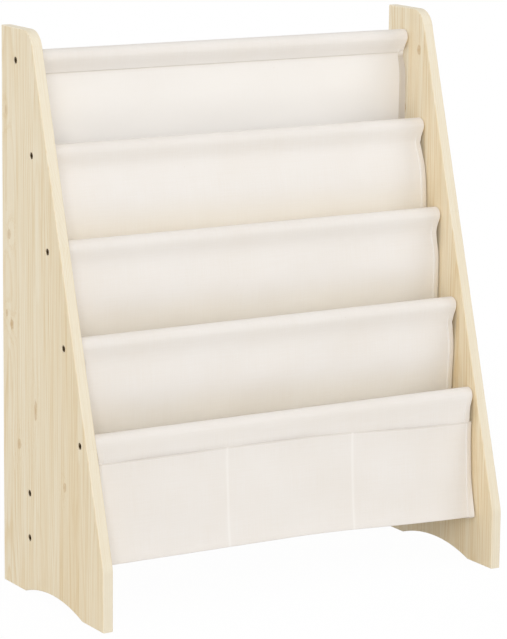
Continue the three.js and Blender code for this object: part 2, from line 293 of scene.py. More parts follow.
def make_sky():
    world = bpy.data.worlds.new("sky")
    sky = Finish(world)
    strength = seen_directly(sky) * (1 - SKY_LIGHT) + SKY_LIGHT
    background = sky.node("ShaderNodeBackground", {}, {"Color": WHITE, "Strength": strength})
    sky.node("ShaderNodeOutputWorld", {}, {"Surface": background})
    bpy.context.scene.world = world


def make_floor():
    finish = new_finish("floor")
    seen = seen_directly(finish)
    colour = finish.blend(seen, FLOOR_COLOUR, WHITE)
    plain = finish.node("ShaderNodeBsdfDiffuse", {}, {"Color": colour})
    white = finish.node("ShaderNodeEmission", {}, {"Color": WHITE, "Strength": 1})
    place = {0: finish.place()}
    distance = finish.node("ShaderNodeVectorMath", {"operation": "LENGTH"}, place, output="Value")
    near = (1 - distance / SHADOW_REACH).clipped() ** SHADOW_FADE_POWER
    share = seen * (1 - near * SHADOW_SHARE)
    mixed = finish.node("ShaderNodeMixShader", {}, {0: share, 1: plain, 2: white})
    finish.node("ShaderNodeOutputMaterial", {}, {"Surface": mixed})
    bpy.ops.mesh.primitive_plane_add(size=FLOOR_SIZE, location=(0, 0, -FLOOR_BELOW))
    floor = bpy.context.object
    floor.name = "floor"
    floor.data.materials.append(finish.owner)


make_sky()
make_floor()
bpy.context.scene.view_settings.view_transform = "Standard"
print("sky and floor made")

# %% [markdown]
# Five big area lamps do the modelling, as softboxes would. They stand far off, so that the top
# of the shelf is no brighter than its foot. Two of them light the front, the key from the left
# and a weaker fill from farther round on the right, and both reach over the sleeves into the
# pockets. A side lamp lifts the outer face of the left panel, a back lamp the back of the cloth,
# and a weak one overhead the tops of the sleeves.

# %% Lamps
# Each lamp: degrees round the shelf from its front, degrees up, distance, size in metres, watts
LAMPS = {
    "key_lamp": (-30, 22, 12, 6, 505),
    "fill_lamp": (52, 20, 12, 6, 265),
    "side_lamp": (-85, 12, 8, 3, 70),
    "back_lamp": (180, 8, 10, 4, 250),
    "top_lamp": (0, 78, 6, 4, 28),
}
SHELF_MIDDLE = Vector((0, 0, panel_height / 2))


def softbox(name, around, up, distance, size, watts):
    lamp = bpy.data.lights.new(name, "AREA")
    lamp.shape = "SQUARE"
    lamp.size = size
    lamp.energy = watts
    box = bpy.data.objects.new(name, lamp)
    around, up = math.radians(around), math.radians(up)
    toward = Vector((math.sin(around) * math.cos(up), -math.cos(around) * math.cos(up), math.sin(up)))
    box.location = SHELF_MIDDLE + toward * distance
    box.rotation_euler = (-toward).to_track_quat("-Z", "Y").to_euler()
    bpy.context.scene.collection.objects.link(box)


for name, settings in LAMPS.items():
    softbox(name, *settings)
print(len(LAMPS), "lamps made")

# %% [markdown]
# Each panel is glued up from narrow pine boards with the grain upright. A picture of wood would
# stretch on the edges, so the grain is made as a tree makes it: every board is cut from rings
# round its own pith. The distance from the pith, divided by the width of a year's ring, gives the
# late wood lines, which then run correctly over faces, edges and the arch. The two panels are
# cut from other trees, so the right one's piths are shifted. Lengths are in millimetres here.

# %% Year rings
BOARD_JOINTS = (44, 118, 192)
BOARD_PITH_DEPTHS = (14, 62, 178, 262)
BOARD_PITH_BEHINDS = (40, 26, 34, 48)
RIGHT_PITH_SHIFT = (31, 9)
PITH_LEAN = 0.02
RING_WIDTH = 2.8
RING_WANDER, RING_WAVER = 14.0, 1.3
# How fast each pattern changes in a millimetre across a panel, from front to back and upwards
PINE_RATES = {
    "drift": (0.004, 0.012, 0.0022),
    "waver": (0.03, 0.07, 0.011),
    "ragged": (0.3, 0.36, 0.2),
    "fibres": (2.2, 2.2, 0.03),
    "bands": (0.05, 0.07, 0.003),
    "face_streaks": (0.05, 0.42, 0.006),
    "rim_streaks": (0.62, 0.03, 0.006),
}


def stepped(position, joints, values):
    """A value for each board, which changes at the joints"""
    result = values[0]
    for joint, before, after in zip(joints, values, values[1:]):
        result = (position > joint) * (after - before) + result
    return result


def year_rings(finish, board, right):
    """How far from its board's pith each point grew, with the wander of real rings"""
    across, depth, up = board
    drift = finish.grain(board, PINE_RATES["drift"], 1.0)
    waver = finish.grain(board, PINE_RATES["waver"])
    inward = across.maths("ABSOLUTE") - panel_low[0] / MM
    pith_depth = stepped(depth, BOARD_JOINTS, BOARD_PITH_DEPTHS) + right * RIGHT_PITH_SHIFT[0]
    pith_behind = stepped(depth, BOARD_JOINTS, BOARD_PITH_BEHINDS) + right * RIGHT_PITH_SHIFT[1]
    from_pith_y = depth - pith_depth
    from_pith_x = inward + pith_behind + up * PITH_LEAN
    distance = (from_pith_x**2 + from_pith_y**2) ** 0.5
    return distance + (drift - 0.5) * RING_WANDER + (waver - 0.5) * (RING_WAVER * RING_WIDTH)


print("boards in a panel", len(BOARD_PITH_DEPTHS))

# %% [markdown]
# A knot is the foot of a branch. The rings swerve round it, its core is dark, and a darker rim
# parts it from the board. Each is an ellipse with a ragged edge, on one panel or the other.

# %% Knots
# Each knot: side, depth from the front, height, half width, half height, all in mm, and strength
KNOTS = (
    (-1, 185.7, 253.4, 3.0, 12, 0.8),
    (-1, 232.9, 198.4, 4.2, 6, 0.6),
    (-1, 103.8, 168.2, 3.4, 5, 0.6),
    (-1, 253.1, 356.8, 4.2, 6, 0.85),
    (-1, 260.5, 476.3, 4.0, 6, 0.6),
    (-1, 267.7, 369.0, 2.6, 4, 0.6),
    (-1, 267, 640, 3.0, 6, 0.45),
    (1, 202.4, 694.3, 3.6, 5.5, 0.75),
    (1, 238.3, 611.2, 4.6, 8, 1.0),
    (1, 60, 318, 2.4, 6, 0.6),
    (1, 150, 240, 5.0, 7, 0.7),
)
KNOT_PUSH = 1.5 * RING_WIDTH
KNOT_PUSH_FALL = -0.07
KNOT_CORE_REACH = 1.3
KNOT_RIM_SHARPNESS, KNOT_RIM_SHARE = 3.0, 0.55


def knots(finish, board, right):
    """How far the knots push the rings, and how strongly their cores and rims show"""
    depth, up = board[1:]
    ragged = finish.grain(board, PINE_RATES["ragged"]) + 0.5
    push, cores, rims = 0, 0, 0
    for side, knot_depth, height, half_width, half_height, strength in KNOTS:
        on_side = right if side > 0 else 1 - right
        aside = (depth - knot_depth) / half_width
        above = (up - height) / half_height
        reach = (aside**2 + above**2) ** 0.5 * ragged
        push = (reach * reach * KNOT_PUSH_FALL).maths("EXPONENT") * on_side + push
        core = (KNOT_CORE_REACH - reach).clipped() * on_side
        rim = (1 - (reach - 1).maths("ABSOLUTE") * KNOT_RIM_SHARPNESS).clipped() * on_side
        cores = core * strength + cores
        rims = rim * (KNOT_RIM_SHARE * strength) + rims
    return push * KNOT_PUSH, cores, rims


print(len(KNOTS), "knots")

# %% [markdown]
# The finish puts rings, knots, fibres and the glue lines between the boards over two tones of
# pine. On the sawn edges the lines are weaker and the tone is greyer, so the share of a surface
# that looks sideways, on_face, tells faces from edges.

# %% Pine
BOARD_TONES = (0.42, 0.6, 0.34, 0.2)
BAND_TONE, RIGHT_TONE = 2.0, 0.1
# How dark the wood is through one year, from spring to spring
YEAR_STOPS = (
    (0, (0, 0, 0, 1)),
    (0.5, (0.1, 0.1, 0.1, 1)),
    (0.86, (1, 1, 1, 1)),
    (1, (0.05, 0.05, 0.05, 1)),
)
BOLD_YEAR_RATES = (0.13, 7, 1)
BOLD_YEAR_GAIN, BOLD_YEAR_DROP = 1.6, 0.15
GLUE_LINE_WIDTH = 0.3
PINE_PALE = spectrum(243, 232, 208)
PINE_WARM = spectrum(236, 219, 186)
PINE_RIM = spectrum(233, 225, 206)
PINE_LATE = (0.9, 0.82, 0.68, 1)
PINE_STREAK = (0.9, 0.83, 0.7, 1)
PINE_FIBRE = (0.92, 0.87, 0.78, 1)
PINE_KNOT = (0.7, 0.54, 0.36, 1)
PINE_GLUE = (0.82, 0.74, 0.6, 1)
RIM_TONE_SHARE, RIM_GRAIN_SHARE, LATE_SHARE = 0.75, 0.4, 0.85
STREAK_START, STREAK_GAIN = 0.46, 3.6
FIBRE_START, FIBRE_GAIN = 0.5, 1.6
GLUE_RIM_SHARE, GLUE_FACE_GAIN = 0.1, 0.4
LATE_RELIEF, FIBRE_RELIEF, GLUE_RELIEF, KNOT_RELIEF = 0.5, 0.35, 0.8, 0.4
PINE_RELIEF_HEIGHT = 0.09 * MM
WOOD_ROUGHNESS, FIBRE_ROUGHNESS, LATE_GLOSS = 0.5, 0.12, 0.06
WOOD_SPECULAR = 0.35


def late_wood(finish, rings, right):
    year = (rings / RING_WIDTH).maths("FRACT")
    late = finish.node("ShaderNodeValToRGB", {"stops": YEAR_STOPS}, {"Fac": year})
    bold_years = finish.grain((rings, right, 0.5), BOLD_YEAR_RATES, 1.0)
    return late * (bold_years * BOLD_YEAR_GAIN - BOLD_YEAR_DROP).clipped()


def pine():
    finish = new_finish("pine")
    across, y, up = [part / MM for part in finish.parts(finish.place())]
    depth = y - front_y / MM
    board = (across, depth, up)
    right = across > 0
    facing = finish.node("ShaderNodeNewGeometry", output="Normal")
    on_face = finish.parts(facing)[0].maths("ABSOLUTE")
    push, cores, rims = knots(finish, board, right)
    late = late_wood(finish, year_rings(finish, board, right) + push, right)
    fibres = finish.grain(board, PINE_RATES["fibres"], 3.0, 0.65)
    bands = finish.grain(board, PINE_RATES["bands"])
    face_streaks = finish.grain(board, PINE_RATES["face_streaks"], 2.0, 0.6)
    rim_streaks = finish.grain(board, PINE_RATES["rim_streaks"], 2.0, 0.6)
    streaks = face_streaks * on_face + rim_streaks * (1 - on_face)
    glue = 0
    for joint in BOARD_JOINTS:
        glue = (1 - (depth - joint).maths("ABSOLUTE") / GLUE_LINE_WIDTH).clipped() + glue

    tone = stepped(depth, BOARD_JOINTS, BOARD_TONES) + (bands - 0.5) * BAND_TONE + right * RIGHT_TONE
    grain_share = on_face * (1 - RIM_GRAIN_SHARE) + RIM_GRAIN_SHARE
    colour = finish.blend(tone.clipped(), PINE_PALE, PINE_WARM)
    colour = finish.blend((1 - on_face).clipped() * RIM_TONE_SHARE, colour, PINE_RIM)
    colour = finish.tinted(late * grain_share * LATE_SHARE, colour, PINE_LATE)
    colour = finish.tinted(streaks.above(STREAK_START, STREAK_GAIN) * grain_share, colour, PINE_STREAK)
    colour = finish.tinted(fibres.above(FIBRE_START, FIBRE_GAIN), colour, PINE_FIBRE)
    colour = finish.tinted((cores + rims).clipped(), colour, PINE_KNOT)
    colour = finish.tinted(glue * (on_face * GLUE_FACE_GAIN + GLUE_RIM_SHARE), colour, PINE_GLUE)
    relief = late * LATE_RELIEF + fibres * FIBRE_RELIEF - glue * GLUE_RELIEF + cores * KNOT_RELIEF
    return finish.surface(
        {
            "Base Color": colour,
            "Roughness": fibres * FIBRE_ROUGHNESS + WOOD_ROUGHNESS - late * LATE_GLOSS,
            "Specular IOR Level": WOOD_SPECULAR,
            "Normal": finish.bump(relief, PINE_RELIEF_HEIGHT),
        }
    )


pine_finish = pine()
print("pine made of", len(pine_finish.node_tree.nodes), "nodes")

# %% [markdown]
# The dowels are turned from straight-grained wood, so their fibres run along x. They show only
# between the ends of the sleeves and the panels.

# %% Dowel wood
DOWEL_FIBRE_RATES = (0.03, 1.6, 1.6)
DOWEL_RING_RATES = (0.002, 0.35, 0.35)
DOWEL_PALE, DOWEL_WARM = spectrum(236, 219, 184), spectrum(222, 200, 160)
DOWEL_FIBRE = (0.88, 0.8, 0.68, 1)
DOWEL_FIBRE_GAIN, DOWEL_RELIEF_HEIGHT = 2, 0.08 * MM


def dowel_wood():
    finish = new_finish("dowel_wood")
    place = [part / MM for part in finish.parts(finish.place())]
    fibres = finish.grain(place, DOWEL_FIBRE_RATES, 3.0, 0.65)
    rings = finish.grain(place, DOWEL_RING_RATES, 1.0)
    colour = finish.blend(rings, DOWEL_PALE, DOWEL_WARM)
    return finish.surface(
        {
            "Base Color": finish.tinted(fibres.above(FIBRE_START, DOWEL_FIBRE_GAIN), colour, DOWEL_FIBRE),
            "Roughness": fibres * FIBRE_ROUGHNESS + WOOD_ROUGHNESS,
            "Specular IOR Level": WOOD_SPECULAR,
            "Normal": finish.bump(fibres, DOWEL_RELIEF_HEIGHT),
        }
    )


dowel_finish = dowel_wood()
print("dowel wood made")

# %% [markdown]
# The bolts are blackened steel. The heads rub bright where a key has turned them, so a clouded
# pattern lifts the colour a little and changes the gloss. The inserts are zinc plated.

# %% Metals
WEAR_SCALE, FINE_SCALE = 900.0, 4200.0
WEAR_START, WEAR_GAIN = 0.42, 3
FINE_ROUGHNESS, METAL_RELIEF_HEIGHT = 0.16, 0.02 * MM


def worn_metal(name, dark, bright, roughness):
    finish = new_finish(name)
    place = finish.place()
    wear = finish.clouds(place, WEAR_SCALE, 3.0, 0.6)
    fine = finish.clouds(place, FINE_SCALE)
    return finish.surface(
        {
            "Base Color": finish.blend(wear.above(WEAR_START, WEAR_GAIN), dark, bright),
            "Metallic": 1.0,
            "Roughness": fine * FINE_ROUGHNESS + roughness,
            "Normal": finish.bump(fine, METAL_RELIEF_HEIGHT),
        }
    )


dark_steel = worn_metal("dark_steel", spectrum(78, 62, 38), spectrum(112, 92, 62), 0.4)
zinc = worn_metal("zinc", spectrum(172, 172, 166), spectrum(206, 206, 200), 0.3)
print("metals made")

# %% [markdown]
# A panel is cut to its outline and its long edges are eased by sandpaper. The outline is drawn
# with the rounded corner, the slight bend low at the front and the arch between the feet, and
# then drawn out to the panel's thickness. Every rim edge is beveled before the holes are cut.

# %% Panel outline
TOP_FLAT = 82 * MM
TOP_CORNER_RADIUS = 28 * MM
UPRIGHT_HEIGHT = 82 * MM
KINK_RADIUS = 40 * MM
FRONT_FOOT = 57 * MM
BACK_FOOT = 62 * MM
ARCH_RISE = 13.5 * MM
CORNER_POINTS, KINK_POINTS, ARCH_POINTS = 22, 6, 40


def from_front(depth, height):
    return np.array((front_y + depth, height))


def arc(centre, radius, start, end, count):
    angles = np.linspace(start, end, count)[:, None]
    return centre + radius * np.hstack((np.cos(angles), np.sin(angles)))


def rounded_corner(before, corner, after, radius, count):
    to_before = (before - corner) / np.linalg.norm(before - corner)
    to_after = (after - corner) / np.linalg.norm(after - corner)
    half = math.acos(to_before @ to_after) / 2
    inward = (to_before + to_after) / np.linalg.norm(to_before + to_after)
    centre = corner + inward * radius / math.sin(half)
    first = corner + to_before * radius / math.tan(half) - centre
    last = corner + to_after * radius / math.tan(half) - centre
    start = math.atan2(first[1], first[0])
    sweep = math.atan2(last[1], last[0]) - start
    sweep = math.atan2(math.sin(sweep), math.cos(sweep))
    return arc(centre, radius, start, start + sweep, count)


def foot_arch():
    half_span = (panel_depth - FRONT_FOOT - BACK_FOOT) / 2
    radius = (half_span**2 + ARCH_RISE**2) / (2 * ARCH_RISE)
    half_angle = math.asin(half_span / radius)
    centre = from_front(FRONT_FOOT + half_span, ARCH_RISE - radius)
    upright = math.pi / 2
    return arc(centre, radius, upright + half_angle, upright - half_angle, ARCH_POINTS)


def panel_outline():
    back_bottom = from_front(panel_depth, 0)
    back_top = from_front(panel_depth, panel_height)
    front_top = from_front(panel_depth - TOP_FLAT, panel_height)
    kink = from_front(0, UPRIGHT_HEIGHT)
    front_bottom = from_front(0, 0)
    return np.vstack(
        (
            [back_bottom, back_top],
            rounded_corner(back_top, front_top, kink, TOP_CORNER_RADIUS, CORNER_POINTS),
            rounded_corner(front_top, kink, front_bottom, KINK_RADIUS, KINK_POINTS),
            [front_bottom],
            foot_arch(),
        )
    )


print("panel outline of", len(panel_outline()), "points")

# %% [markdown]
# Bolts, inserts and the holes for them are all turned shapes along x. A turned piece is a pile of
# rings, and each ring's radius may depend on the angle: six flats make the hexagon of the key
# socket, and a radius that climbs with the angle makes a thread.

# %% Rings of a turned piece
TURNED_SIDES = 48
RINGS_PER_TURN = 4


def round_ring(radius):
    return lambda angle, along: radius


def hexagon_ring(half_flats):
    sixth = math.pi / 3
    return lambda angle, along: half_flats / math.cos((angle % sixth) - sixth / 2)


def thread_ring(radius, depth, pitch):
    def radius_at(angle, along):
        turn = (along / pitch - angle / (2 * math.pi)) % 1
        return radius - depth * abs(2 * turn - 1)

    return radius_at


def threaded(start, end, radius, depth, pitch):
    count = round((end - start) / pitch * RINGS_PER_TURN)
    return [(along, thread_ring(radius, depth, pitch)) for along in np.linspace(start, end, count)]


print("a turned piece has", TURNED_SIDES, "sides")

# %% [markdown]
# The rings become a mesh: one face between each pair of neighbours, and a cap at both ends, or
# faces from the last ring back to the first where a bore runs right through. Blender then turns
# every face to look outwards, and edges sharper than a given angle stay sharp when it is shaded.


# %% Turned pieces
def link_mesh(name, vertices, faces, finish):
    mesh = bpy.data.meshes.new(name)
    mesh.from_pydata([tuple(v) for v in vertices], [], [tuple(f) for f in faces])
    mesh.validate()
    mesh.materials.append(finish)
    piece = bpy.data.objects.new(name, mesh)
    bpy.context.scene.collection.objects.link(piece)
    return piece


def face_outward(piece):
    worker = bmesh.new()
    worker.from_mesh(piece.data)
    bmesh.ops.recalc_face_normals(worker, faces=worker.faces)
    worker.to_mesh(piece.data)
    worker.free()


def turned(name, rings, finish, side, x, place, closed_bore=False):
    """Rings of (along, radius) from the inner end to the outer end, along side times x"""
    vertices, faces = [], []
    for along, radius_at in rings:
        for step in range(TURNED_SIDES):
            angle = 2 * math.pi * step / TURNED_SIDES
            radius = radius_at(angle, along)
            y = place[0] + radius * math.cos(angle)
            z = place[1] + radius * math.sin(angle)
            vertices.append((x + side * along, y, z))
    count = len(rings)
    for ring in range(count if closed_bore else count - 1):
        a, b = ring * TURNED_SIDES, ((ring + 1) % count) * TURNED_SIDES
        for step in range(TURNED_SIDES):
            following = (step + 1) % TURNED_SIDES
            faces.append((a + step, a + following, b + following, b + step)[::-side])
    if not closed_bore:
        faces.append(tuple(range(TURNED_SIDES))[::-1])
        faces.append(tuple(range((count - 1) * TURNED_SIDES, count * TURNED_SIDES))[::side])
    piece = link_mesh(name, vertices, faces, finish)
    face_outward(piece)
    return piece


def smooth_by_angle(piece, degrees):
    piece.data.shade_smooth()
    piece.data.set_sharp_from_angle(angle=math.radians(degrees))


def stands_for(piece, node):
    """Puts the piece in the place of the model's own, on the shelf's one body"""
    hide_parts(node)
    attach(piece, "root")


# %% [markdown]
# The panel's holes are counterbored: a round recess for the bolt's head and a narrower hole for
# its shank. The saw leaves a tiny chamfer at the mouth, which catches the light. All the cutters
# of one panel are joined, so that one exact Boolean cuts them.

# %% Holes in the panels
RECESS_RADIUS = 4.6 * MM
RECESS_DEPTH = 6.3 * MM
RECESS_CHAMFER = 0.45 * MM
BOLT_HOLE_RADIUS = 2.8 * MM
CUT_OVERRUN = 1 * MM


def hole_cutter(name, side, place):
    outer_x = side * panel_high[0]
    rings = [
        (-panel_thickness - CUT_OVERRUN, round_ring(BOLT_HOLE_RADIUS)),
        (-RECESS_DEPTH, round_ring(BOLT_HOLE_RADIUS)),
        (-RECESS_DEPTH, round_ring(RECESS_RADIUS)),
        (-RECESS_CHAMFER, round_ring(RECESS_RADIUS)),
        (CUT_OVERRUN, round_ring(RECESS_RADIUS + RECESS_CHAMFER + CUT_OVERRUN)),
    ]
    return turned(name, rings, pine_finish, side, outer_x, place)


def joined_pieces(pieces, name):
    bpy.ops.object.select_all(action="DESELECT")
    for piece in pieces:
        piece.select_set(True)
    bpy.context.view_layer.objects.active = pieces[0]
    bpy.ops.object.join()
    pieces[0].name = name
    return pieces[0]


def drill(panel, side):
    cutters = [hole_cutter(f"hole_{which}", side, place) for which, place in dowel_places.items()]
    cutter = joined_pieces(cutters, "holes")
    cut = panel.modifiers.new("holes", "BOOLEAN")
    cut.object = cutter
    cut.operation = "DIFFERENCE"
    cut.solver = "EXACT"
    shown = panel.evaluated_get(bpy.context.evaluated_depsgraph_get())
    mesh = bpy.data.meshes.new_from_object(shown)
    panel.modifiers.clear()
    panel.data = mesh
    bpy.data.objects.remove(cutter)


print("a panel gets", len(dowel_places), "holes")

# %% [markdown]
# The blank of a panel is its outline twice, with a face between each pair of corners. Bevels on
# the two rims ease the edges. Weighted normals let the large faces lead the shading, so that only
# the eased edges look round.

# %% Panels
EDGE_EASING = 1.5 * MM
EASING_STEPS = 4
PANEL_SHARP_DEGREES = 35


def is_on_rim(edge):
    """Whether the edge follows the outline, and doesn't cross the panel's thickness"""
    first, second = edge.verts
    return abs(first.co.x - second.co.x) < EDGE_EASING / 2


def panel_blank(name, side):
    outline = panel_outline()
    worker = bmesh.new()
    rims = []
    for x in (side * panel_low[0], side * panel_high[0]):
        ring = [worker.verts.new((x, y, z)) for y, z in outline]
        worker.faces.new(ring)
        rims.append(ring)
    count = len(outline)
    for i in range(count):
        following = (i + 1) % count
        worker.faces.new((rims[0][i], rims[0][following], rims[1][following], rims[1][i]))
    bmesh.ops.recalc_face_normals(worker, faces=worker.faces)
    eased_edges = [edge for edge in worker.edges if is_on_rim(edge)]
    bmesh.ops.bevel(
        worker, geom=eased_edges, offset=EDGE_EASING, segments=EASING_STEPS, profile=0.5, affect="EDGES"
    )
    mesh = bpy.data.meshes.new(name)
    worker.to_mesh(mesh)
    worker.free()
    mesh.materials.append(pine_finish)
    panel = bpy.data.objects.new(name, mesh)
    bpy.context.scene.collection.objects.link(panel)
    return panel


for side_name, side in SIDES.items():
    panel = panel_blank(f"panel_{side_name}", side)
    drill(panel, side)
    smooth_by_angle(panel, PANEL_SHARP_DEGREES)
    weighted = panel.modifiers.new("flats", "WEIGHTED_NORMAL")
    weighted.keep_sharp = True
    stands_for(panel, f"side_panel_{side_name}")
    print(panel.name, len(panel.data.polygons), "faces")

# %% [markdown]
# Each dowel has a small chamfer and a threaded insert let into each end. The insert has coarse
# ribs outside, which bite into the wood, and a plain bore for the bolt.

# %% Dowels and inserts
DOWEL_CHAMFER = 1 * MM
# A chamfer is turned in two steps, which meet at this share of its width
CHAMFER_STEP_SHARE = 0.3
BORE_DEPTH = 30 * MM
INSERT_RADIUS, INSERT_LENGTH = 4.4 * MM, 13 * MM
INSERT_RIB, INSERT_PITCH = 0.5 * MM, 2 * MM
SEAT_CLEARANCE = 0.3 * MM
BOLT_RADIUS, BOLT_LENGTH = 2.5 * MM, 26 * MM


def dowel(name, place):
    bore = round_ring(INSERT_RADIUS + SEAT_CLEARANCE)
    step = DOWEL_CHAMFER * CHAMFER_STEP_SHARE
    end = [
        (dowel_half_length - BORE_DEPTH, bore),
        (dowel_half_length, bore),
        (dowel_half_length, round_ring(dowel_radius - DOWEL_CHAMFER)),
        (dowel_half_length - step, round_ring(dowel_radius - step)),
        (dowel_half_length - DOWEL_CHAMFER, round_ring(dowel_radius)),
    ]
    other_end = [(-along, radius) for along, radius in end]
    return turned(name, other_end + end[::-1], dowel_finish, 1, 0, place)


def insert(name, side, place):
    bore = round_ring(BOLT_RADIUS + SEAT_CLEARANCE)
    core = round_ring(INSERT_RADIUS - INSERT_RIB)
    ribs = threaded(-INSERT_LENGTH + INSERT_RIB, -INSERT_RIB, INSERT_RADIUS, INSERT_RIB, INSERT_PITCH)
    rings = [(-INSERT_LENGTH, bore), (-INSERT_LENGTH, core), *ribs, (0, core), (0, bore)]
    return turned(name, rings, zinc, side, side * dowel_half_length, place, closed_bore=True)


print("insert", round(INSERT_LENGTH / MM), "mm long")

# %% [markdown]
# A furniture bolt runs through the panel into the insert, and its head sinks into the recess. It
# is one pile of rings from the tip of its thread to the bottom of its key socket.

# %% Bolts
THREAD_DEPTH, THREAD_PITCH = 0.35 * MM, 0.8 * MM
HEAD_RADIUS, HEAD_HEIGHT = 4.25 * MM, 5 * MM
HEAD_EDGE = 0.45 * MM
HEAD_UNDER_EDGE = HEAD_EDGE / 3
SOCKET_HALF_FLATS, SOCKET_DEPTH = 2 * MM, 2.6 * MM
SOCKET_CHAMFER = 0.25 * MM
TURNED_SHARP_DEGREES = 30
bolt_middle_x = abs(middle("top_bolt_right")[0])
bolt_seat_x = bolt_middle_x + (BOLT_LENGTH + HEAD_HEIGHT) / 2 - HEAD_HEIGHT


def bolt(name, side, place):
    thread = threaded(-BOLT_LENGTH + THREAD_DEPTH, -THREAD_DEPTH, BOLT_RADIUS, THREAD_DEPTH, THREAD_PITCH)
    key = hexagon_ring(SOCKET_HALF_FLATS)
    wide_key = round_ring(SOCKET_HALF_FLATS / math.cos(math.pi / 6) + SOCKET_CHAMFER)
    step = HEAD_EDGE * CHAMFER_STEP_SHARE
    rings = [
        (-BOLT_LENGTH, round_ring(BOLT_RADIUS - 2 * THREAD_DEPTH)),
        *thread,
        (0, round_ring(BOLT_RADIUS - THREAD_DEPTH)),
        (0, round_ring(HEAD_RADIUS - HEAD_UNDER_EDGE)),
        (HEAD_UNDER_EDGE, round_ring(HEAD_RADIUS)),
        (HEAD_HEIGHT - HEAD_EDGE, round_ring(HEAD_RADIUS)),
        (HEAD_HEIGHT - step, round_ring(HEAD_RADIUS - step)),
        (HEAD_HEIGHT, round_ring(HEAD_RADIUS - HEAD_EDGE)),
        (HEAD_HEIGHT, wide_key),
        (HEAD_HEIGHT - SOCKET_CHAMFER, key),
        (HEAD_HEIGHT - SOCKET_DEPTH, key),
        (HEAD_HEIGHT - SOCKET_DEPTH - SOCKET_CHAMFER, round_ring(SOCKET_HALF_FLATS / 4)),
    ]
    return turned(name, rings, dark_steel, side, side * bolt_seat_x, place)


def fitted(piece, node):
    smooth_by_angle(piece, TURNED_SHARP_DEGREES)
    stands_for(piece, node)


for which, place in dowel_places.items():
    fitted(dowel(f"dowel_{which}", place), f"{which}_dowel")
    for side_name, side in SIDES.items():
        fitted(insert(f"insert_{which}_{side_name}", side, place), f"{which}_insert_{side_name}")
        fitted(bolt(f"bolt_{which}_{side_name}", side, place), f"{which}_bolt_{side_name}")
print("dowels, inserts and bolts made")

# %% [markdown]
# The canvas is plain woven cotton, undyed. Its threads pass over and under each other, its yarns
# vary in thickness, and specks of seed husk show here and there. The pattern needs to know where
# it lies on the flat cloth, so each piece of canvas carries an attribute with its place across
# and along the cloth, in metres, and a number of its own, which no two pieces share.
#
# Thin cotton also lets light through from behind, but this canvas is opaque, so that light is painted
# into its colour. The back of the first pocket hangs alone against the light and is painted paler,
# and its doubled hems are painted darker, so a second attribute holds this painted light: 0.5 stands
# for no more than elsewhere. A third says how deep in a pocket's mouth the cloth lies. Light gets
# there by way of more canvas and is warmer for it, and that warm bounce light is painted in too.

# %% Canvas finish
THREAD_SPACING = 0.95
THICK_YARN_RATE, LONG_YARN_RATE = 0.8, 0.02
CLOUD_RATE, HUSK_RATE, HUSK_REACH = 0.011, 0.03, 0.022
# Added to a piece's number, these give its weft and its clouds patterns of their own
WEFT_SHIFT, CLOUD_SHIFT = 5, 9
CLOUD_TONE, YARN_TONE = 1.2, 0.8
WEAVE_SHADE, HUSK_SHADE = 0.12, 0.55
THREAD_RELIEF, YARN_RELIEF, CANVAS_RELIEF_HEIGHT = 0.6, 0.5, 0.12 * MM
CANVAS_PALE, CANVAS_WARM = spectrum(243, 239, 235), spectrum(239, 233, 226)
# Colours of painted light and shade: brighter where light is painted as coming through, darker where
# cloth is doubled, warmer for bounce light in a mouth
CANVAS_PAINTED_BRIGHT = spectrum(254, 251, 247)
CANVAS_PAINTED_SHADE = (0.7, 0.66, 0.6, 1)
CANVAS_PAINTED_BOUNCE = (1, 0.975, 0.9, 1)
# Painted shade in the hollows between the threads
CANVAS_BETWEEN_THREADS = (0.8, 0.77, 0.72, 1)
CANVAS_HUSK = (0.62, 0.5, 0.36, 1)


def canvas_finish():
    finish = new_finish("canvas")
    across, along, piece = finish.parts(finish.attribute("cloth_place", "Vector"))
    across, along = across / MM, along / MM
    warp = (across * (math.pi / THREAD_SPACING)).maths("SINE")
    weft = (along * (math.pi / THREAD_SPACING)).maths("SINE")
    over = (warp * weft) > 0
    threads = over * warp.maths("ABSOLUTE") + (1 - over) * weft.maths("ABSOLUTE")
    thick_warp = finish.grain((across, along, piece), (THICK_YARN_RATE, LONG_YARN_RATE, 1))
    thick_weft = finish.grain((across, along, piece + WEFT_SHIFT), (LONG_YARN_RATE, THICK_YARN_RATE, 1))
    clouds = finish.grain((across, along, piece + CLOUD_SHIFT), (CLOUD_RATE, CLOUD_RATE, 1), 3.0)
    husk_place = finish.vector(across * HUSK_RATE, along * HUSK_RATE, piece)
    husks = finish.node("ShaderNodeTexVoronoi", {}, {"Vector": husk_place, "Scale": 1.0})
    speck = (1 - husks / HUSK_REACH).clipped()

    share = (clouds - 0.5) * CLOUD_TONE + (thick_warp + thick_weft - 1) * YARN_TONE + 0.5
    light = finish.attribute("light_through")
    colour = finish.blend(share.clipped(), CANVAS_PALE, CANVAS_WARM)
    # Painted light and shade: paler where light is painted as coming through, darker where doubled cloth
    # is painted shaded
    colour = finish.blend((light * 2 - 1).clipped(), colour, CANVAS_PAINTED_BRIGHT)
    colour = finish.tinted((1 - light * 2).clipped(), colour, CANVAS_PAINTED_SHADE)
    # Painted warm bounce light deep in the pockets' mouths
    colour = finish.tinted(finish.attribute("in_mouth"), colour, CANVAS_PAINTED_BOUNCE)
    # Painted shade between the threads
    colour = finish.tinted((1 - threads) * WEAVE_SHADE, colour, CANVAS_BETWEEN_THREADS)
    colour = finish.tinted(speck * HUSK_SHADE, colour, CANVAS_HUSK)
    relief = threads * THREAD_RELIEF + thick_warp * YARN_RELIEF + thick_weft * YARN_RELIEF
    return finish.surface(
        {
            "Base Color": colour,
            "Roughness": 0.88,
            "Specular IOR Level": 0.15,
            "Sheen Weight": 0.06,
            "Normal": finish.bump(relief, CANVAS_RELIEF_HEIGHT),
        }
    )


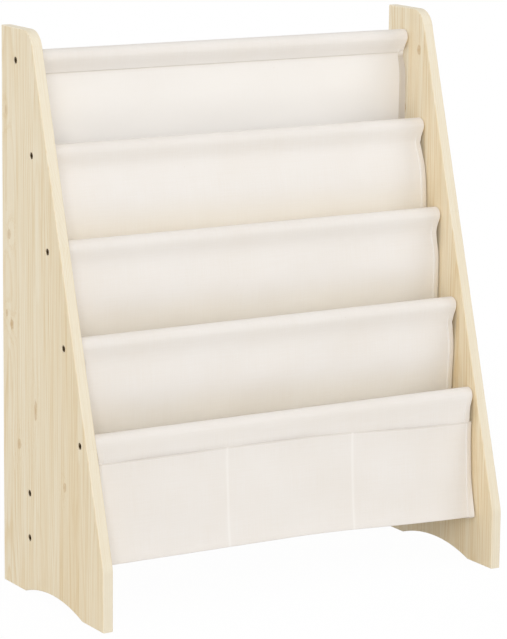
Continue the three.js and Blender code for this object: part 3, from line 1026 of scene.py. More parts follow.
canvas = canvas_finish()
print("canvas made of", len(canvas.node_tree.nodes), "nodes")

# %% [markdown]
# The seams are sewn with cotton thread, a little paler than the canvas. The bars of close stitches
# at the ends of a seam are darker.

# %% Threads
TWIST_SCALE = 2600.0
TWIST_RELIEF_HEIGHT = 0.05 * MM


def thread_finish(name, pale, dark):
    finish = new_finish(name)
    twist = finish.clouds(finish.place(), TWIST_SCALE)
    colour = finish.blend(twist, pale, dark)
    relief = finish.bump(twist, TWIST_RELIEF_HEIGHT)
    return finish.surface({"Base Color": colour, "Roughness": 0.7, "Normal": relief})


thread = thread_finish("thread", spectrum(242, 237, 227), spectrum(222, 212, 195))
tack_thread = thread_finish("tack_thread", spectrum(206, 195, 178), spectrum(178, 166, 148))
print("threads made")

# %% [markdown]
# A pocket is one length of canvas. Seen from the side it is a line: round one dowel, down as the
# pocket's back, round its bottom, up as its front, and round the next dowel. The line is put
# together from curves, in the order in which a hand would follow it, with the pocket's outside
# always on its left. These helpers move, join and measure such lines.

# %% Lines in the side view
FINE_STEP = 1.2 * MM
CURVE_POINTS = 60


def moved(place, forward=0.0, down=0.0):
    return place - np.array((forward, down))


def curve(start, start_pull, end_pull, end):
    """A Bezier curve from start to end, drawn out towards its two pulls on the way"""
    t = np.linspace(0, 1, CURVE_POINTS)[:, None]
    near, far = 3 * (1 - t) ** 2 * t, 3 * (1 - t) * t**2
    return (1 - t) ** 3 * start + near * start_pull + far * end_pull + t**3 * end


def run_of(line):
    """How far along the line each of its points is"""
    return np.concatenate(([0], np.cumsum(np.linalg.norm(np.diff(line, axis=0), axis=1))))


def at_run(line, runs):
    own = run_of(line)
    return np.column_stack([np.interp(runs, own, line[:, i]) for i in range(2)])


def evenly(line):
    length = run_of(line)[-1]
    return at_run(line, np.linspace(0, length, max(2, round(length / FINE_STEP) + 1)))


def joined_line(*parts):
    return evenly(np.vstack([parts[0], *[part[1:] for part in parts[1:]]]))


def left_of(line):
    """The direction to the left of the line at each point"""
    along = np.gradient(line, axis=0)
    along /= np.linalg.norm(along, axis=1)[:, None]
    return np.column_stack((-along[:, 1], along[:, 0]))


print("lines have a point every", round(FINE_STEP / MM, 1), "mm")

# %% [markdown]
# Where a length of canvas ends, it goes round its dowel, is turned back and sewn to itself below
# the dowel. So each sleeve is a real tunnel of one layer, closed by a short tail. The seam's
# corner is then eased, as cloth eases a fold, by averaging each point with its neighbours.

# %% Sleeves
CLOTH = 1.2 * MM
LAYER_STEP = CLOTH + 0.1 * MM
SLEEVE_SLACK = 0.25 * MM
SLEEVE_REACH = 21.1 * MM
TOP_SLEEVE_REACH = 17.8 * MM
SEAM_LEANS = dict(zip(DOWEL_NAMES, np.radians((18.8, 25, 25, 25, 33, 64.7, 64.7))))
SLEEVE_POINTS = 64
EASE_REACH, EASE_CORE_SHARE = 9 * MM, 0.6
EASE_PASSES, FLOOR_EASE_PASSES, TOP_EASE_PASSES = 10, 6, 2
FRONT_TAIL = 1.6 * MM
BACK_TAIL = 9 * MM
sleeve_radius = dowel_radius + SLEEVE_SLACK + CLOTH / 2
sleeve_outer = sleeve_radius + CLOTH / 2


def seam_below(name):
    """The seam that closes a sleeve under its dowel, a little towards the front"""
    reach = TOP_SLEEVE_REACH if name == "top" else SLEEVE_REACH
    lean = SEAM_LEANS[name]
    return moved(dowel_places[name], reach * math.sin(lean), reach * math.cos(lean))


def round_dowel(name):
    """From a sleeve's seam clockwise round its dowel, to just before the seam"""
    centre = dowel_places[name]
    away = seam_below(name) - centre
    toward = math.atan2(away[1], away[0])
    spread = math.acos(sleeve_radius / np.linalg.norm(away))
    return arc(centre, sleeve_radius, toward - spread, toward + spread - 2 * math.pi, SLEEVE_POINTS)


def tail_beside(line, length, side):
    """The turned-back end of the cloth, a layer beside the start of the line"""
    near = at_run(line, np.arange(0, length, FINE_STEP))
    return near - left_of(near) * LAYER_STEP * side


def eased(line, seam, passes):
    """Rounds the line near the seam and leaves it as it is elsewhere"""
    gaps = np.linalg.norm(line - seam, axis=1)
    share = np.clip(1 + EASE_CORE_SHARE - gaps / EASE_REACH, 0, 1)[:, None]
    for _ in range(passes):
        smoothed = line.copy()
        smoothed[1:-1] = (line[:-2] + 2 * line[1:-1] + line[2:]) / 4
        line = line + (smoothed - line) * share
    return line


def with_end_sleeve(line, name):
    tail = tail_beside(line[::-1], BACK_TAIL, -1)
    whole = np.vstack((line, round_dowel(name), tail))
    return eased(evenly(whole), seam_below(name), EASE_PASSES)


def with_start_sleeve(line, name, tail_length, passes):
    tail = tail_beside(line, tail_length, 1)
    whole = np.vstack((tail[::-1], round_dowel(name), line))
    return eased(evenly(whole), seam_below(name), passes)


print("a sleeve's cloth lies", round(sleeve_radius / MM, 2), "mm from the middle of its dowel")

# %% [markdown]
# The plies keep the model's own shape: the backs hang straight, the bottoms sag between them and
# the fronts lean forward to the sleeve. Each pocket after the first starts at a seam on the front
# of the pocket behind it.

# %% The three upper pockets
POCKET_GAPS = (7.25 * MM, 19.85 * MM, 25.15 * MM)
SEAM_BELOW_DOWEL = 6 * MM
SEAM_ALLOWANCE = 10 * MM
SEAM_LAYER = 1.5 * MM
POCKET_SAG = 17 * MM
SAG_OF_PULL_SHARE = 3 / 4
PLY_FOOT_PULL_SHARE = 1 / 3
PLY_TOP_PULL_SHARE = 1 / 5

pocket_seams = [
    moved(dowel_places[name], -(sleeve_outer + gap), SEAM_BELOW_DOWEL)
    for name, gap in zip(("third", "fourth", "front"), POCKET_GAPS)
]


def pocket_line(number):
    seam_top = pocket_seams[number]
    sleeve_seam = seam_below(DOWEL_NAMES[number + 1])
    front_foot = moved(seam_top, down=SEAM_ALLOWANCE)
    start = moved(pocket_seams[number - 1], SEAM_LAYER) if number else seam_below("top")
    back_foot = np.array((start[0], front_foot[1]))
    pull = POCKET_SAG / SAG_OF_PULL_SHARE
    ply = sleeve_seam - seam_top
    length = np.linalg.norm(ply)
    foot_pull = moved(seam_top, down=-length * PLY_FOOT_PULL_SHARE)
    top_pull = moved(sleeve_seam, ply[0] * PLY_FOOT_PULL_SHARE, length * PLY_TOP_PULL_SHARE)
    line = joined_line(
        np.array((start, back_foot)),
        curve(back_foot, moved(back_foot, down=pull), moved(front_foot, down=pull), front_foot),
        np.array((front_foot, seam_top)),
        curve(seam_top, foot_pull, top_pull, sleeve_seam),
    )
    if number == 0:
        line = with_start_sleeve(line, "top", FRONT_TAIL, TOP_EASE_PASSES)
    return with_end_sleeve(line, DOWEL_NAMES[number + 1])


lines = {
    "top_pocket": pocket_line(0),
    "second_pocket": pocket_line(1),
    "third_pocket": pocket_line(2),
}
print("upper pockets", [round(run_of(line)[-1] / MM) for line in lines.values()], "mm long")

# %% [markdown]
# The bottom pocket is wider and is sewn from two lengths. Its back runs from the last seam down to
# the upper rear dowel. Its floor starts on the lower rear dowel, sags, folds up at the front, and
# becomes the front, which ends in a sleeve on the front dowel.

# %% The bottom pocket
BACK_STRAIGHT = 29.7 * MM
BACK_SAG = 34 * MM
BACK_TURN_SHARE = 0.6
FOLD_HEIGHT, FOLD_DEPTH, FOLD_RADIUS = 72 * MM, 43.6 * MM, 1.8 * MM
FLOOR_SAG = 9 * MM
FLOOR_PULL_SHARES = (1 / 3, 2 / 3)
FRONT_PLY_PULL_SHARE = 0.29
FRONT_PLY_TOP_LEAN, FRONT_PLY_FOOT_FLARE = 5.4 * MM, 8.4 * MM
fold_top = from_front(FOLD_DEPTH, FOLD_HEIGHT + FOLD_RADIUS)


def bottom_back_line():
    start = moved(pocket_seams[2], SEAM_LAYER)
    straight_end = moved(start, down=BACK_STRAIGHT)
    seam = seam_below("upper_rear")
    low = seam[1] - BACK_SAG
    turn = np.array((straight_end[0] + (seam[0] - straight_end[0]) * BACK_TURN_SHARE, low))
    line = joined_line(
        np.array((start, straight_end)),
        curve(straight_end, np.array((straight_end[0], low)), turn, seam),
    )
    return with_end_sleeve(line, "upper_rear")


def front_ply():
    """The front of the bottom pocket, from its fold up to the front dowel's seam"""
    seam = seam_below("front")
    pull = FRONT_PLY_PULL_SHARE * (seam[1] - fold_top[1])
    foot_pull = moved(fold_top, -FRONT_PLY_FOOT_FLARE, -pull)
    return curve(fold_top, foot_pull, moved(seam, -FRONT_PLY_TOP_LEAN, pull), seam)


def bottom_front_line():
    floor_seam = seam_below("lower_rear")
    fold_end = moved(fold_top, -FOLD_RADIUS, FOLD_RADIUS)
    low = floor_seam[1] - FLOOR_SAG
    pulls = [np.array((fold_end[0] + (floor_seam[0] - fold_end[0]) * s, low)) for s in FLOOR_PULL_SHARES]
    fold_pulls = moved(fold_end, FOLD_RADIUS / 2), moved(fold_top, down=FOLD_RADIUS / 2)
    line = joined_line(
        curve(floor_seam, pulls[1], pulls[0], fold_end),
        curve(fold_end, *fold_pulls, fold_top),
        front_ply(),
    )
    line = with_start_sleeve(line, "lower_rear", BACK_TAIL, FLOOR_EASE_PASSES)
    return with_end_sleeve(line, "front")


lines["bottom_back"] = bottom_back_line()
lines["bottom_front"] = bottom_front_line()
bottom_lengths = [run_of(lines[key])[-1] for key in ("bottom_back", "bottom_front")]
print("bottom pocket", [round(length / MM) for length in bottom_lengths], "mm long")

# %% [markdown]
# The strip of small pockets lies a layer in front of the bottom pocket's front, from a little
# below the fold to its own upper edge.

# %% The strip of small pockets
STRIP_BELOW_DOWEL = 28.5 * MM
STRIP_STEP = 1.5 * MM
STRIP_DROP = 2.4 * MM
strip_top = dowel_places["front"][1] - STRIP_BELOW_DOWEL


def strip_line():
    ply = joined_line(np.array((moved(fold_top, down=STRIP_DROP), fold_top)), front_ply())
    layer = ply + left_of(ply) * STRIP_STEP
    return layer[layer[:, 1] < strip_top]


lines["small_pockets"] = strip_line()
print("strip", round(run_of(lines["small_pockets"])[-1] / MM), "mm high")

# %% [markdown]
# Empty canvas isn't flat. Between two sleeves it bellies forward a little, and long shallow waves
# run down it. The belly is a plain function of the place in the shelf, so that every layer which
# touches another moves with it.

# %% How the cloth bellies
BELLY = 3 * MM
RIPPLE = 0.8 * MM
RIPPLE_HALF_WAVES = 3
HELD_ENDS_SHARE = 0.4
HELD_ENDS_POWER = 8
SLING_DOWELS = DOWEL_NAMES[:5]
stretch_ends = [dowel_places[name][1] + sleeve_outer for name in SLING_DOWELS[1:]] + [fold_top[1]]
stretches = [(seam_below(name)[1], end) for name, end in zip(SLING_DOWELS, stretch_ends)]


def smooth_step(low, high, value):
    share = np.clip((value - low) / (high - low), 0, 1)
    return share * share * (3 - 2 * share)


def belly_at(x, y, z):
    """How far the cloth lies forward of its line"""
    across = x / cloth_half_width
    folds = BELLY + RIPPLE * np.cos(math.pi * RIPPLE_HALF_WAVES * across)
    forward = np.zeros_like(x)
    for number, (top, bottom) in enumerate(stretches):
        share = np.clip((top - z) / (top - bottom), 0, 1)
        held = 1.0
        if number == len(stretches) - 1:
            rear = seam_below("upper_rear")[0]
            held = 1 - smooth_step(dowel_places["fourth"][0], rear, y)
        free = 1 - (HELD_ENDS_SHARE if number else 1) * across**HELD_ENDS_POWER
        forward += folds * free * held * np.sin(math.pi * share) ** 2
    return forward


print(len(stretches), "stretches of cloth between sleeves")

# %% [markdown]
# The bottom pocket isn't quite level: its front hangs a little lower at the right end. The strip
# on it is sewn down at its ends and along two uprights, and its upper edge stands open between
# them. Both are again functions of the place, shared by the pocket and the strip. A third one
# tells how deep in a pocket's mouth a place lies, for the warm painted bounce light there.

# %% How the bottom pocket and the mouths hang
FRONT_RAISED, FRONT_DROP = 4 * MM, 10 * MM
UNEVEN_FADE = 10 * MM
UNEVEN_FROM, UNEVEN_TO = 35 * MM, 110 * MM
SMALL_POCKETS = 3
UPRIGHTS = [cloth_half_width * (2 * i / SMALL_POCKETS - 1) for i in range(1, SMALL_POCKETS)]
STRIP_OPEN, STRIP_OPEN_POWER = 2 * MM, 2.2
MOUTH_BELOW_ROLL, MOUTH_REACH, MOUTH_EDGE = 8 * MM, 50 * MM, 4 * MM


def uneven_front(x, y, z):
    """How much higher the front of the bottom pocket hangs than its line"""
    raised = FRONT_RAISED - FRONT_DROP * smooth_step(0, cloth_half_width, x)
    under_sleeve = 1 - smooth_step(strip_top, strip_top + UNEVEN_FADE, z)
    at_front = 1 - smooth_step(fold_top[0] + UNEVEN_FROM, fold_top[0] + UNEVEN_TO, y)
    return raised * under_sleeve * at_front


def strip_opening(x, z):
    """How far the strip stands off the pocket, towards its upper edge"""
    up = np.clip((z - fold_top[1]) / (strip_top - fold_top[1]), 0, 1)
    across = SMALL_POCKETS * (x + cloth_half_width) / (2 * cloth_half_width)
    return STRIP_OPEN * up**STRIP_OPEN_POWER * np.sin(math.pi * across) ** 2


def mouth_depth(y, z):
    """How deep the place lies in the mouth behind a sleeve, from 0 to 1"""
    depth = np.zeros_like(z)
    for name in SLING_DOWELS[2:]:
        dowel_y, dowel_z = dowel_places[name]
        roll_top = dowel_z + sleeve_outer
        above = 1 - smooth_step(roll_top - MOUTH_BELOW_ROLL, roll_top + MOUTH_REACH, z)
        behind = smooth_step(dowel_y + sleeve_radius, dowel_y + sleeve_radius + MOUTH_EDGE, y)
        depth = np.maximum(depth, above * behind)
    return depth


print("uprights at", [round(x / MM) for x in UPRIGHTS], "mm")

# %% [markdown]
# A length of canvas is a grid: rows follow its line and columns run across the shelf. A small
# class keeps what the sums about one length need: how far along it each point of its line is, its
# left side, where its seams are, and which stretch of it lies on a dowel.

# %% Canvas
SEAM_NEARNESS = 3 * MM
ON_DOWEL_FROM = sleeve_radius + 1 * MM
# Each piece of the sling: the model's piece that it stands for, and the dowels that it hangs on
SLING_PIECES = {
    "top_pocket": ("top_pocket_sling", ("top", "second")),
    "second_pocket": ("second_pocket_sling", ("third",)),
    "third_pocket": ("third_pocket_sling", ("fourth",)),
    "bottom_back": ("bottom_pocket_back", ("upper_rear",)),
    "bottom_front": ("bottom_pocket_front", ("lower_rear", "front")),
    "small_pockets": ("small_pocket_strip", ("front",)),
}


class Canvas:
    """One length of canvas hanging in the shelf"""

    def __init__(self, key, number):
        self.name = f"canvas_{key}"
        self.number = number
        self.is_strip = key == "small_pockets"
        self.at_front = key in ("bottom_front", "small_pockets")
        self.line = lines[key]
        self.runs = run_of(self.line)
        self.left = left_of(self.line)
        self.seam_runs = []
        self.against_light = None
        self.on_dowel = np.zeros(len(self.line))
        self.node, self.hangs_on = SLING_PIECES[key]
        for dowel_name in () if self.is_strip else self.hangs_on:
            self.add_sleeve(dowel_places[dowel_name], seam_below(dowel_name))

    def add_sleeve(self, place, seam):
        """Notes which cloth lies on the dowel, and where the line first and last passes the seam"""
        gaps = np.linalg.norm(self.line - place, axis=1)
        self.on_dowel = np.maximum(self.on_dowel, 1 - smooth_step(ON_DOWEL_FROM, SLEEVE_REACH, gaps))
        near = np.linalg.norm(self.line - seam, axis=1) < SEAM_NEARNESS
        self.seam_runs += [float(self.runs[near][0]), float(self.runs[near][-1])]

    def along(self, runs, values):
        return np.interp(runs, self.runs, values)

    def near_seams(self, runs, reach):
        """1 at the seams, and less the farther along the cloth from them"""
        near = np.zeros_like(runs)
        for seam_run in self.seam_runs:
            near = np.maximum(near, np.exp(-(((runs - seam_run) / reach) ** 2)))
        return near


slings = {key: Canvas(key, number) for number, key in enumerate(SLING_PIECES, 1)}
print("sleeves in each piece", {key: len(sling.seam_runs) // 2 for key, sling in slings.items()})

# %% [markdown]
# Near a seam the stitches draw the cloth into small puckers, and away from it long waves run down
# it. Its ends curl in a little, apart from the foot of the front, which flares. On a dowel the
# cloth reaches out to the panels. At a seam a bar of stitches holds its ends back and presses the
# layers together.

# %% Where the cloth lies
WAVE, WAVE_RATES = 0.55 * MM, (0.016, 0.006)
PUCKER, PUCKER_RATES, PUCKER_REACH = 0.3 * MM, (0.075, 0.02), 13 * MM
PUCKER_SEED = 3
FLAT_END = 20 * MM
END_CURL, END_CURL_WIDTH = 2.5 * MM, 10 * MM
END_FLARE, END_FLARE_HEIGHT = 2.5 * MM, 60 * MM
SLEEVE_PUSH = 1.2 * MM
END_DRAW, END_DRAW_REACH, END_DRAW_WIDTH = 4.0 * MM, 18 * MM, 34 * MM
TACK_DEPTH, TACK_HEIGHT, TACK_WIDTH = 1.5 * MM, 1.7 * MM, 8 * MM
TACK_FLAT_SHARE = 0.7
FACING_NUDGE = 0.5 * MM


def from_end(x):
    return cloth_half_width - np.abs(x)


def noise_over(x, runs, rates, seed):
    """Noise over the flat cloth, from -1 to 1; the rates say how fast it changes in a millimetre"""
    places = zip(np.ravel(x) / MM * rates[0], np.ravel(runs) / MM * rates[1])
    return np.array([noise.noise(Vector((u, v, seed))) for u, v in places]).reshape(np.shape(x))


def ripples(sling, x, runs, near_seam):
    waves = noise_over(x, runs, WAVE_RATES, sling.number) * WAVE
    puckers = noise_over(x, runs, PUCKER_RATES, sling.number + PUCKER_SEED) * PUCKER
    return (waves * (1 - near_seam) + puckers * near_seam) * smooth_step(0, FLAT_END, from_end(x))


def end_curl(sling, x, z):
    """How far the ends of the cloth lie out of it, which is below 0 where they curl in"""
    low = 1 - smooth_step(fold_top[1], fold_top[1] + END_FLARE_HEIGHT, z) if sling.at_front else 0
    curl = np.clip(1 - from_end(x) / END_CURL_WIDTH, 0, 1) ** 2
    return (END_FLARE * low - END_CURL * (1 - low)) * curl


def drawn_in(sling, x, runs, on_dowel):
    """How far the ends of the cloth are drawn in from the panels"""
    drawn = sling.near_seams(runs, END_DRAW_REACH)
    drawn = drawn * END_DRAW - SLEEVE_PUSH * on_dowel * (1 - drawn)
    return drawn * (1 - smooth_step(0, END_DRAW_WIDTH, from_end(x)))


def cloth_middle(sling, x, runs):
    """Where the middle of the cloth lies at x and that far along, before its thickness"""
    y, z = [sling.along(runs, values) for values in sling.line.T]
    left_y, left_z = [sling.along(runs, values) for values in sling.left.T]
    on_dowel = sling.along(runs, sling.on_dowel)
    near_seam = sling.near_seams(runs, PUCKER_REACH)
    out = ripples(sling, x, runs, near_seam) * (1 - on_dowel)
    out += end_curl(sling, x, z) * (1 - on_dowel) * (1 - near_seam)
    at_tack = 1 - smooth_step(TACK_WIDTH * TACK_FLAT_SHARE, TACK_WIDTH, from_end(x))
    out -= sling.near_seams(runs, TACK_HEIGHT) * TACK_DEPTH * at_tack
    forward = belly_at(x, y, z) + (strip_opening(x, z) if sling.is_strip else 0)
    raised = uneven_front(x, y, z) if sling.at_front else 0
    inward = np.sign(x) * drawn_in(sling, x, runs, on_dowel)
    return np.stack((x - inward, y + left_y * out - forward, z + left_z * out + raised), axis=-1)


def facing(sling, x, runs):
    """The direction that the outer face looks in"""
    across, forth = [
        cloth_middle(sling, x + aside, runs + ahead) - cloth_middle(sling, x - aside, runs - ahead)
        for aside, ahead in ((FACING_NUDGE, 0), (0, FACING_NUDGE))
    ]
    out = np.cross(forth, across)
    return out / np.linalg.norm(out, axis=-1)[..., None]


print("cloth ends are drawn in by up to", round(END_DRAW / MM), "mm")

# %% [markdown]
# Side hems double the cloth along both ends. A hem is turned to the inside of a pocket, and on a
# sleeve to its outside, and its row of stitches presses a shallow crease. On the strip, the seams
# that part the small pockets stand up as low ridges.

# %% How thick the cloth is
HEM_WIDTH = 8.6 * MM
HEM_STEP, HEM_ROUNDING = 0.95 * MM, 0.5 * MM
HEM_STITCH_IN = 7.2 * MM
CREASE_DEPTH, CREASE_WIDTH = 0.05 * MM, 0.6 * MM
UPRIGHT_LIFT, UPRIGHT_WIDTH = 0.5 * MM, 1.7 * MM


def over_hem(x, fade):
    """1 on the side hems and 0 past their edge, with a short fade between"""
    return smooth_step(HEM_WIDTH + fade, HEM_WIDTH, from_end(x))


def near_upright(x):
    """1 on the two seams that part the small pockets and 0 away from them"""
    gaps = [np.abs(x - upright) for upright in UPRIGHTS]
    return np.exp(-((np.min(gaps, axis=0) / UPRIGHT_WIDTH) ** 2))


def thickness(sling, x, runs):
    """How far the outer and the inner face lie from the middle"""
    hem = over_hem(x, HEM_ROUNDING) * HEM_STEP
    on_dowel = sling.along(runs, sling.on_dowel)
    crease = np.exp(-(((from_end(x) - HEM_STITCH_IN) / CREASE_WIDTH) ** 2)) * CREASE_DEPTH
    ridge = UPRIGHT_LIFT * near_upright(x) if sling.is_strip else 0
    return CLOTH / 2 + hem * on_dowel - crease + ridge, CLOTH / 2 + hem * (1 - on_dowel)


print("cloth", round(CLOTH / MM, 1), "mm thick, in a hem", round((CLOTH + HEM_STEP) / MM, 2), "mm")

# %% [markdown]
# The painted light is 0.5 where cloth lies behind cloth, and a little less, a painted shade, where
# it is doubled. The first pocket's back, from below its sleeve to the pocket's bottom, is painted as
# lit from behind, more so lower down, where the sleeve no longer shades it, and less towards its
# ends. Its hems are painted dark against that light.

# %% Painted light and shade on the cloth
CLOTH_BEHIND, DOUBLED, HEM_AGAINST_LIGHT = 0.5, 0.47, 0.04
HEM_SHADE_FADE = 0.6 * MM
LIGHT_FADE_IN, LIGHT_FADE_OUT = 2 * MM, 20 * MM
BACK_LIGHT_REACH = 45 * MM
BACK_LIGHT_AT_TOP, BACK_LIGHT_DROP = 0.4, 110 * MM
# A thin painted shadow along the strip's upper edge, where it stands off the pocket
STRIP_EDGE_PAINTED_SHADOW, STRIP_EDGE_FROM, STRIP_EDGE_TO = 0.3, 1.3 * MM, 1 * MM
# A painted highlight along the ridges of the two uprights
UPRIGHT_PAINTED_HIGHLIGHT = 0.25
top_pocket = slings["top_pocket"]
lowest = np.argmin(top_pocket.line[:, 1])
top_pocket.against_light = (top_pocket.seam_runs[1], top_pocket.runs[lowest])


def light_from_behind(sling, x, runs, hem, light):
    """The painted light, with the light painted as coming through the first pocket's back"""
    start, end = sling.against_light
    alone = smooth_step(start, start + LIGHT_FADE_IN, runs)
    alone = alone * (1 - smooth_step(end - LIGHT_FADE_OUT, end, runs))
    lower = smooth_step(start, start + BACK_LIGHT_DROP, runs)
    through = (1 - CLOTH_BEHIND) * (BACK_LIGHT_AT_TOP + (1 - BACK_LIGHT_AT_TOP) * lower)
    light = light + alone * (1 - hem) * through * smooth_step(0, BACK_LIGHT_REACH, from_end(x))
    return light + alone * hem * (HEM_AGAINST_LIGHT - light)


def light_through(sling, x, runs):
    hem = over_hem(x, HEM_SHADE_FADE)
    doubled = np.maximum(hem, sling.along(runs, sling.on_dowel))
    light = CLOTH_BEHIND + (DOUBLED - CLOTH_BEHIND) * doubled
    if sling.against_light:
        light = light_from_behind(sling, x, runs, hem, light)
    if sling.is_strip:
        end = sling.runs[-1]
        at_edge = smooth_step(end - STRIP_EDGE_FROM, end - STRIP_EDGE_TO, runs)
        light = (light + UPRIGHT_PAINTED_HIGHLIGHT * near_upright(x)) * (1 - STRIP_EDGE_PAINTED_SHADOW * at_edge)
    return light


print("lit from behind over", round(np.ptp(top_pocket.against_light) / MM), "mm")

# %% [markdown]
# The grid is finer where the cloth turns: columns crowd over the hems and at the uprights, and
# rows over each bend of the line and along its two cut edges.

# %% Columns and rows
COLUMN_STEP = 5 * MM
HEM_COLUMNS = np.array((0, 0.3, 1, 2.4, 4.2, 5.6, 6.5, 7.2, 7.9, 8.5, 8.8, 9.1, 10, 12, 15)) * MM
UPRIGHT_COLUMNS, UPRIGHT_CLEAR = np.linspace(-4, 4, 9) * MM, 5 * MM
ROW_STEP = 4 * MM
ROW_TURN = math.radians(7)
EDGE_ROWS = np.array((0.3, 1.0, 1.3)) * MM


def columns(sling):
    ends = cloth_half_width - HEM_COLUMNS
    inner = ends[-1] - COLUMN_STEP
    between = np.linspace(-inner, inner, round(2 * inner / COLUMN_STEP))
    for upright in UPRIGHTS if sling.is_strip else ():
        clear = between[np.abs(between - upright) > UPRIGHT_CLEAR]
        between = np.sort(np.append(clear, upright + UPRIGHT_COLUMNS))
    return np.concatenate((-ends, between, ends[::-1]))


def rows(sling):
    along = np.gradient(sling.line, axis=0)
    heading = np.unwrap(np.arctan2(along[:, 1], along[:, 0]))
    kept = [0]
    for i in range(1, len(sling.line) - 1):
        turned_by = abs(heading[i] - heading[kept[-1]])
        if turned_by > ROW_TURN or sling.runs[i] - sling.runs[kept[-1]] > ROW_STEP:
            kept.append(i)
    runs = sling.runs[kept + [len(sling.line) - 1]]
    return np.unique(np.concatenate((runs, runs[0] + EDGE_ROWS, runs[-1] - EDGE_ROWS)))


print({key: (len(rows(sling)), len(columns(sling))) for key, sling in slings.items()})

# %% [markdown]
# The skin of the cloth is closed: an outer face, an inner face, and a rounded rim that joins them
# all the way round. Each point of the rim belongs to a point on the border of the grid and stands
# out from it, away from that point's neighbour inside.

# %% Skin of the cloth
RIM_SHARE = 0.35


def border_of(index):
    """The grid's outermost points in their order, and the next points in from them"""
    border = np.concatenate((index[0, :-1], index[:-1, -1], index[-1, :0:-1], index[:0:-1, 0]))
    inside = np.concatenate((index[1, :-1], index[:-1, -2], index[-2, :0:-1], index[:0:-1, 1]))
    return border, inside


def skin_faces(index, border):
    cells = np.stack((index[:-1, :-1], index[:-1, 1:], index[1:, 1:], index[1:, :-1]), axis=-1)
    cells = cells.reshape(-1, 4)
    faces = [tuple(cell) for cell in cells] + [tuple(cell[::-1] + index.size) for cell in cells]
    rim = 2 * index.size + np.arange(len(border))
    for a, b, rim_a, rim_b in zip(border, np.roll(border, -1), rim, np.roll(rim, -1)):
        faces.append((a, rim_a, rim_b, b))
        faces.append((rim_a, a + index.size, b + index.size, rim_b))
    return faces


def skin(sling, x, runs):
    """The points and faces of the skin, the border's points, and which way the outer face looks"""
    lying = cloth_middle(sling, x, runs).reshape(-1, 3)
    out = facing(sling, x, runs).reshape(-1, 3)
    outer_lift, inner_lift = [lift.reshape(-1, 1) for lift in thickness(sling, x, runs)]
    outer = lying + out * outer_lift
    inner = lying - out * inner_lift
    index = np.arange(x.size).reshape(x.shape)
    border, inside = border_of(index)
    outward = lying[border] - lying[inside]
    outward /= np.linalg.norm(outward, axis=1)[:, None]
    rim = (outer[border] + inner[border]) / 2 + outward * (CLOTH * RIM_SHARE)
    return np.vstack((outer, inner, rim)), skin_faces(index, border), border, out


print("of 12 points in a grid,", len(border_of(np.arange(12).reshape(4, 3))[0]), "are its border")

# %% [markdown]
# The skin's points carry the three attributes that the finish reads. The warm painted bounce light
# of a mouth is only for faces that look forward, because the others are the back of the shelf.

# %% Pieces of canvas
MOUTH_FACING_GAIN = 2


def keep(piece, name, kind, field, values):
    attribute = piece.data.attributes.new(name, kind, "POINT")
    attribute.data.foreach_set(field, np.ascontiguousarray(values, dtype=np.float32).ravel())


def canvas_piece(sling):
    x, runs = np.meshgrid(columns(sling), rows(sling))
    vertices, faces, border, out = skin(sling, x, runs)
    piece = link_mesh(sling.name, vertices, faces, canvas)
    place = np.stack((x, runs, np.full_like(x, sling.number)), axis=-1).reshape(-1, 3)
    light = light_through(sling, x, runs).ravel()
    forward = -out[:, 1]
    forward = np.concatenate((forward, -forward, np.zeros(len(border))))
    in_mouth = mouth_depth(*vertices.T[1:]) * np.clip(forward * MOUTH_FACING_GAIN, 0, 1)
    keep(piece, "cloth_place", "FLOAT_VECTOR", "vector", np.vstack((place, place, place[border])))
    keep(piece, "light_through", "FLOAT", "value", np.concatenate((light, light, light[border])))
    keep(piece, "in_mouth", "FLOAT", "value", in_mouth)
    face_outward(piece)
    piece.data.shade_smooth()
    return piece


print("finish reads cloth_place, light_through and in_mouth")

# %% [markdown]
# Stitches are short pieces of thread that rise out of the cloth and dive back into it. One stitch
# is a tube of a few rings, and a row is that tube repeated along a seam. They are real shapes,
# because a bump would vanish in the outline of a sleeve.

# %% Stitches
STITCH_LENGTH, STITCH_PITCH = 2.7 * MM, 3.5 * MM
STITCH_RADIUS = 0.24 * MM
STITCH_LIFTS = np.array((-0.3, 0.12, 0.2, 0.12, -0.3)) * MM
STITCH_SIDES = 6
STITCH_RINGS = len(STITCH_LIFTS)


def stitch_faces(count):
    faces = []
    for base in range(0, count * STITCH_RINGS * STITCH_SIDES, STITCH_RINGS * STITCH_SIDES):
        for a in range(base, base + (STITCH_RINGS - 1) * STITCH_SIDES, STITCH_SIDES):
            b = a + STITCH_SIDES
            for side in range(STITCH_SIDES):
                following = (side + 1) % STITCH_SIDES
                faces.append((a + side, a + following, b + following, b + side))
        faces.append(tuple(range(base, base + STITCH_SIDES))[::-1])
        faces.append(tuple(range(b, b + STITCH_SIDES)))
    return faces


def stitch_row(sling, xs, runs):
    """The points and faces of a row of stitches through the points (x, run) on the cloth"""
    path = np.column_stack((xs, runs))
    length = run_of(path)
    count = int(length[-1] / STITCH_PITCH)
    starts = (np.arange(count) + 0.5) * STITCH_PITCH - STITCH_LENGTH / 2
    at = starts[:, None] + np.linspace(0, STITCH_LENGTH, STITCH_RINGS)[None, :]
    x, run = [np.interp(at, length, values) for values in path.T]
    out = facing(sling, x, run)
    lifts = thickness(sling, x, run)[0] + STITCH_LIFTS[None, :]
    centre = cloth_middle(sling, x, run) + out * lifts[..., None]
    forth = np.gradient(centre, axis=1)
    forth /= np.linalg.norm(forth, axis=-1)[..., None]
    aside = np.cross(forth, out)
    aside /= np.linalg.norm(aside, axis=-1)[..., None]
    upward = np.cross(aside, forth)
    angles = np.linspace(0, 2 * math.pi, STITCH_SIDES, endpoint=False)[:, None]
    round_thread = np.cos(angles) * aside[:, :, None] + np.sin(angles) * upward[:, :, None]
    rings = centre[:, :, None] + STITCH_RADIUS * round_thread
    return rings.reshape(-1, 3), stitch_faces(count)


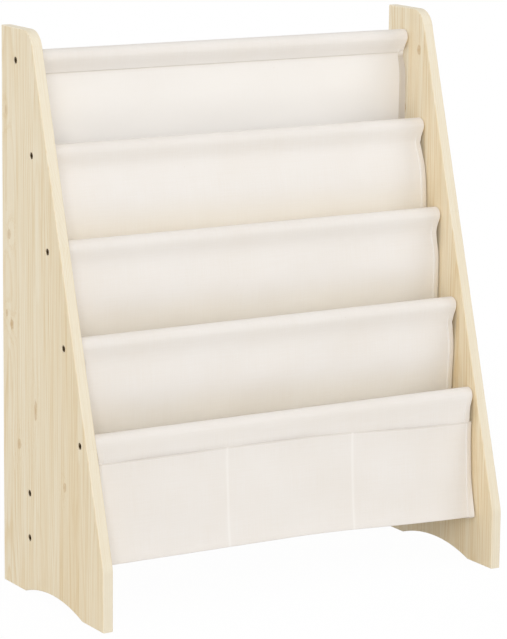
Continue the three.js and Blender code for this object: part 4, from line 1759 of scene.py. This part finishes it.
def stitches(name, rows, finish):
    vertices, faces, offset = [], [], 0
    for row_vertices, row_faces in rows:
        vertices.append(row_vertices)
        faces += [tuple(i + offset for i in face) for face in row_faces]
        offset += len(row_vertices)
    piece = link_mesh(name, np.vstack(vertices), faces, finish)
    face_outward(piece)
    piece.data.shade_smooth()
    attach(piece, "root")
    return piece


print("a stitch every", round(STITCH_PITCH / MM, 1), "mm")

# %% [markdown]
# The rows follow what the cloth was sewn for: one down each side hem, one across at every seam
# round a sleeve, and on the strip its upper hem, its foot and two rows down each upright. Bars of
# close stitches hold both ends of a seam.

# %% Rows of stitches
ROW_POINTS, UPRIGHT_POINTS, TACK_POINTS = 200, 120, 12
END_MARGIN, HEM_MARGIN = 3 * MM, 2 * MM
STRIP_HEM, STRIP_FOOT_SEAM = 9 * MM, STRIP_DROP + 2 * MM
UPRIGHT_FOOT, UPRIGHT_TOP, UPRIGHT_SPREAD = 2 * MM, 1 * MM, 1.3 * MM
TACK_SPAN = (0.8 * MM, 8 * MM)
TACK_ASIDES = (-1 * MM, -0.4 * MM, 0.2 * MM, 0.8 * MM)


def across_row(sling, run):
    reach = cloth_half_width - END_MARGIN
    xs = np.linspace(-reach, reach, ROW_POINTS)
    return stitch_row(sling, xs, np.full_like(xs, run))


def down_row(sling, x, start, end, points):
    runs = np.linspace(start, end, points)
    return stitch_row(sling, np.full_like(runs, x), runs)


def seam_rows(sling):
    end = sling.runs[-1]
    hem_places = [side * (cloth_half_width - HEM_STITCH_IN) for side in SIDES.values()]
    sewn = [down_row(sling, x, HEM_MARGIN, end - HEM_MARGIN, ROW_POINTS) for x in hem_places]
    sewn += [across_row(sling, run) for run in sling.seam_runs]
    if sling.is_strip:
        sewn += [across_row(sling, end - STRIP_HEM), across_row(sling, STRIP_FOOT_SEAM)]
        for upright in UPRIGHTS:
            for x in (upright - UPRIGHT_SPREAD, upright + UPRIGHT_SPREAD):
                sewn.append(down_row(sling, x, UPRIGHT_FOOT, end - UPRIGHT_TOP, UPRIGHT_POINTS))
    return sewn


def tack_rows(sling):
    """Bars of stitches at both ends of each sleeve's seam, on the layer that comes first"""
    sewn = []
    for run in sling.seam_runs[::2]:
        for side in SIDES.values():
            xs = side * (cloth_half_width - np.linspace(*TACK_SPAN, TACK_POINTS))
            sewn += [stitch_row(sling, xs, np.full_like(xs, run + aside)) for aside in TACK_ASIDES]
    return sewn


print("each bar has", len(TACK_ASIDES), "rows")

# %% [markdown]
# Each canvas piece is now made from its line, sewn, and set in the place of the model's plain
# cloth.

# %% Sew the sling
for key, sling in slings.items():
    piece = canvas_piece(sling)
    stands_for(piece, sling.node)
    sewn = [stitches(f"stitches_{key}", seam_rows(sling), thread)]
    if sling.seam_runs:
        sewn.append(stitches(f"tacks_{key}", tack_rows(sling), tack_thread))
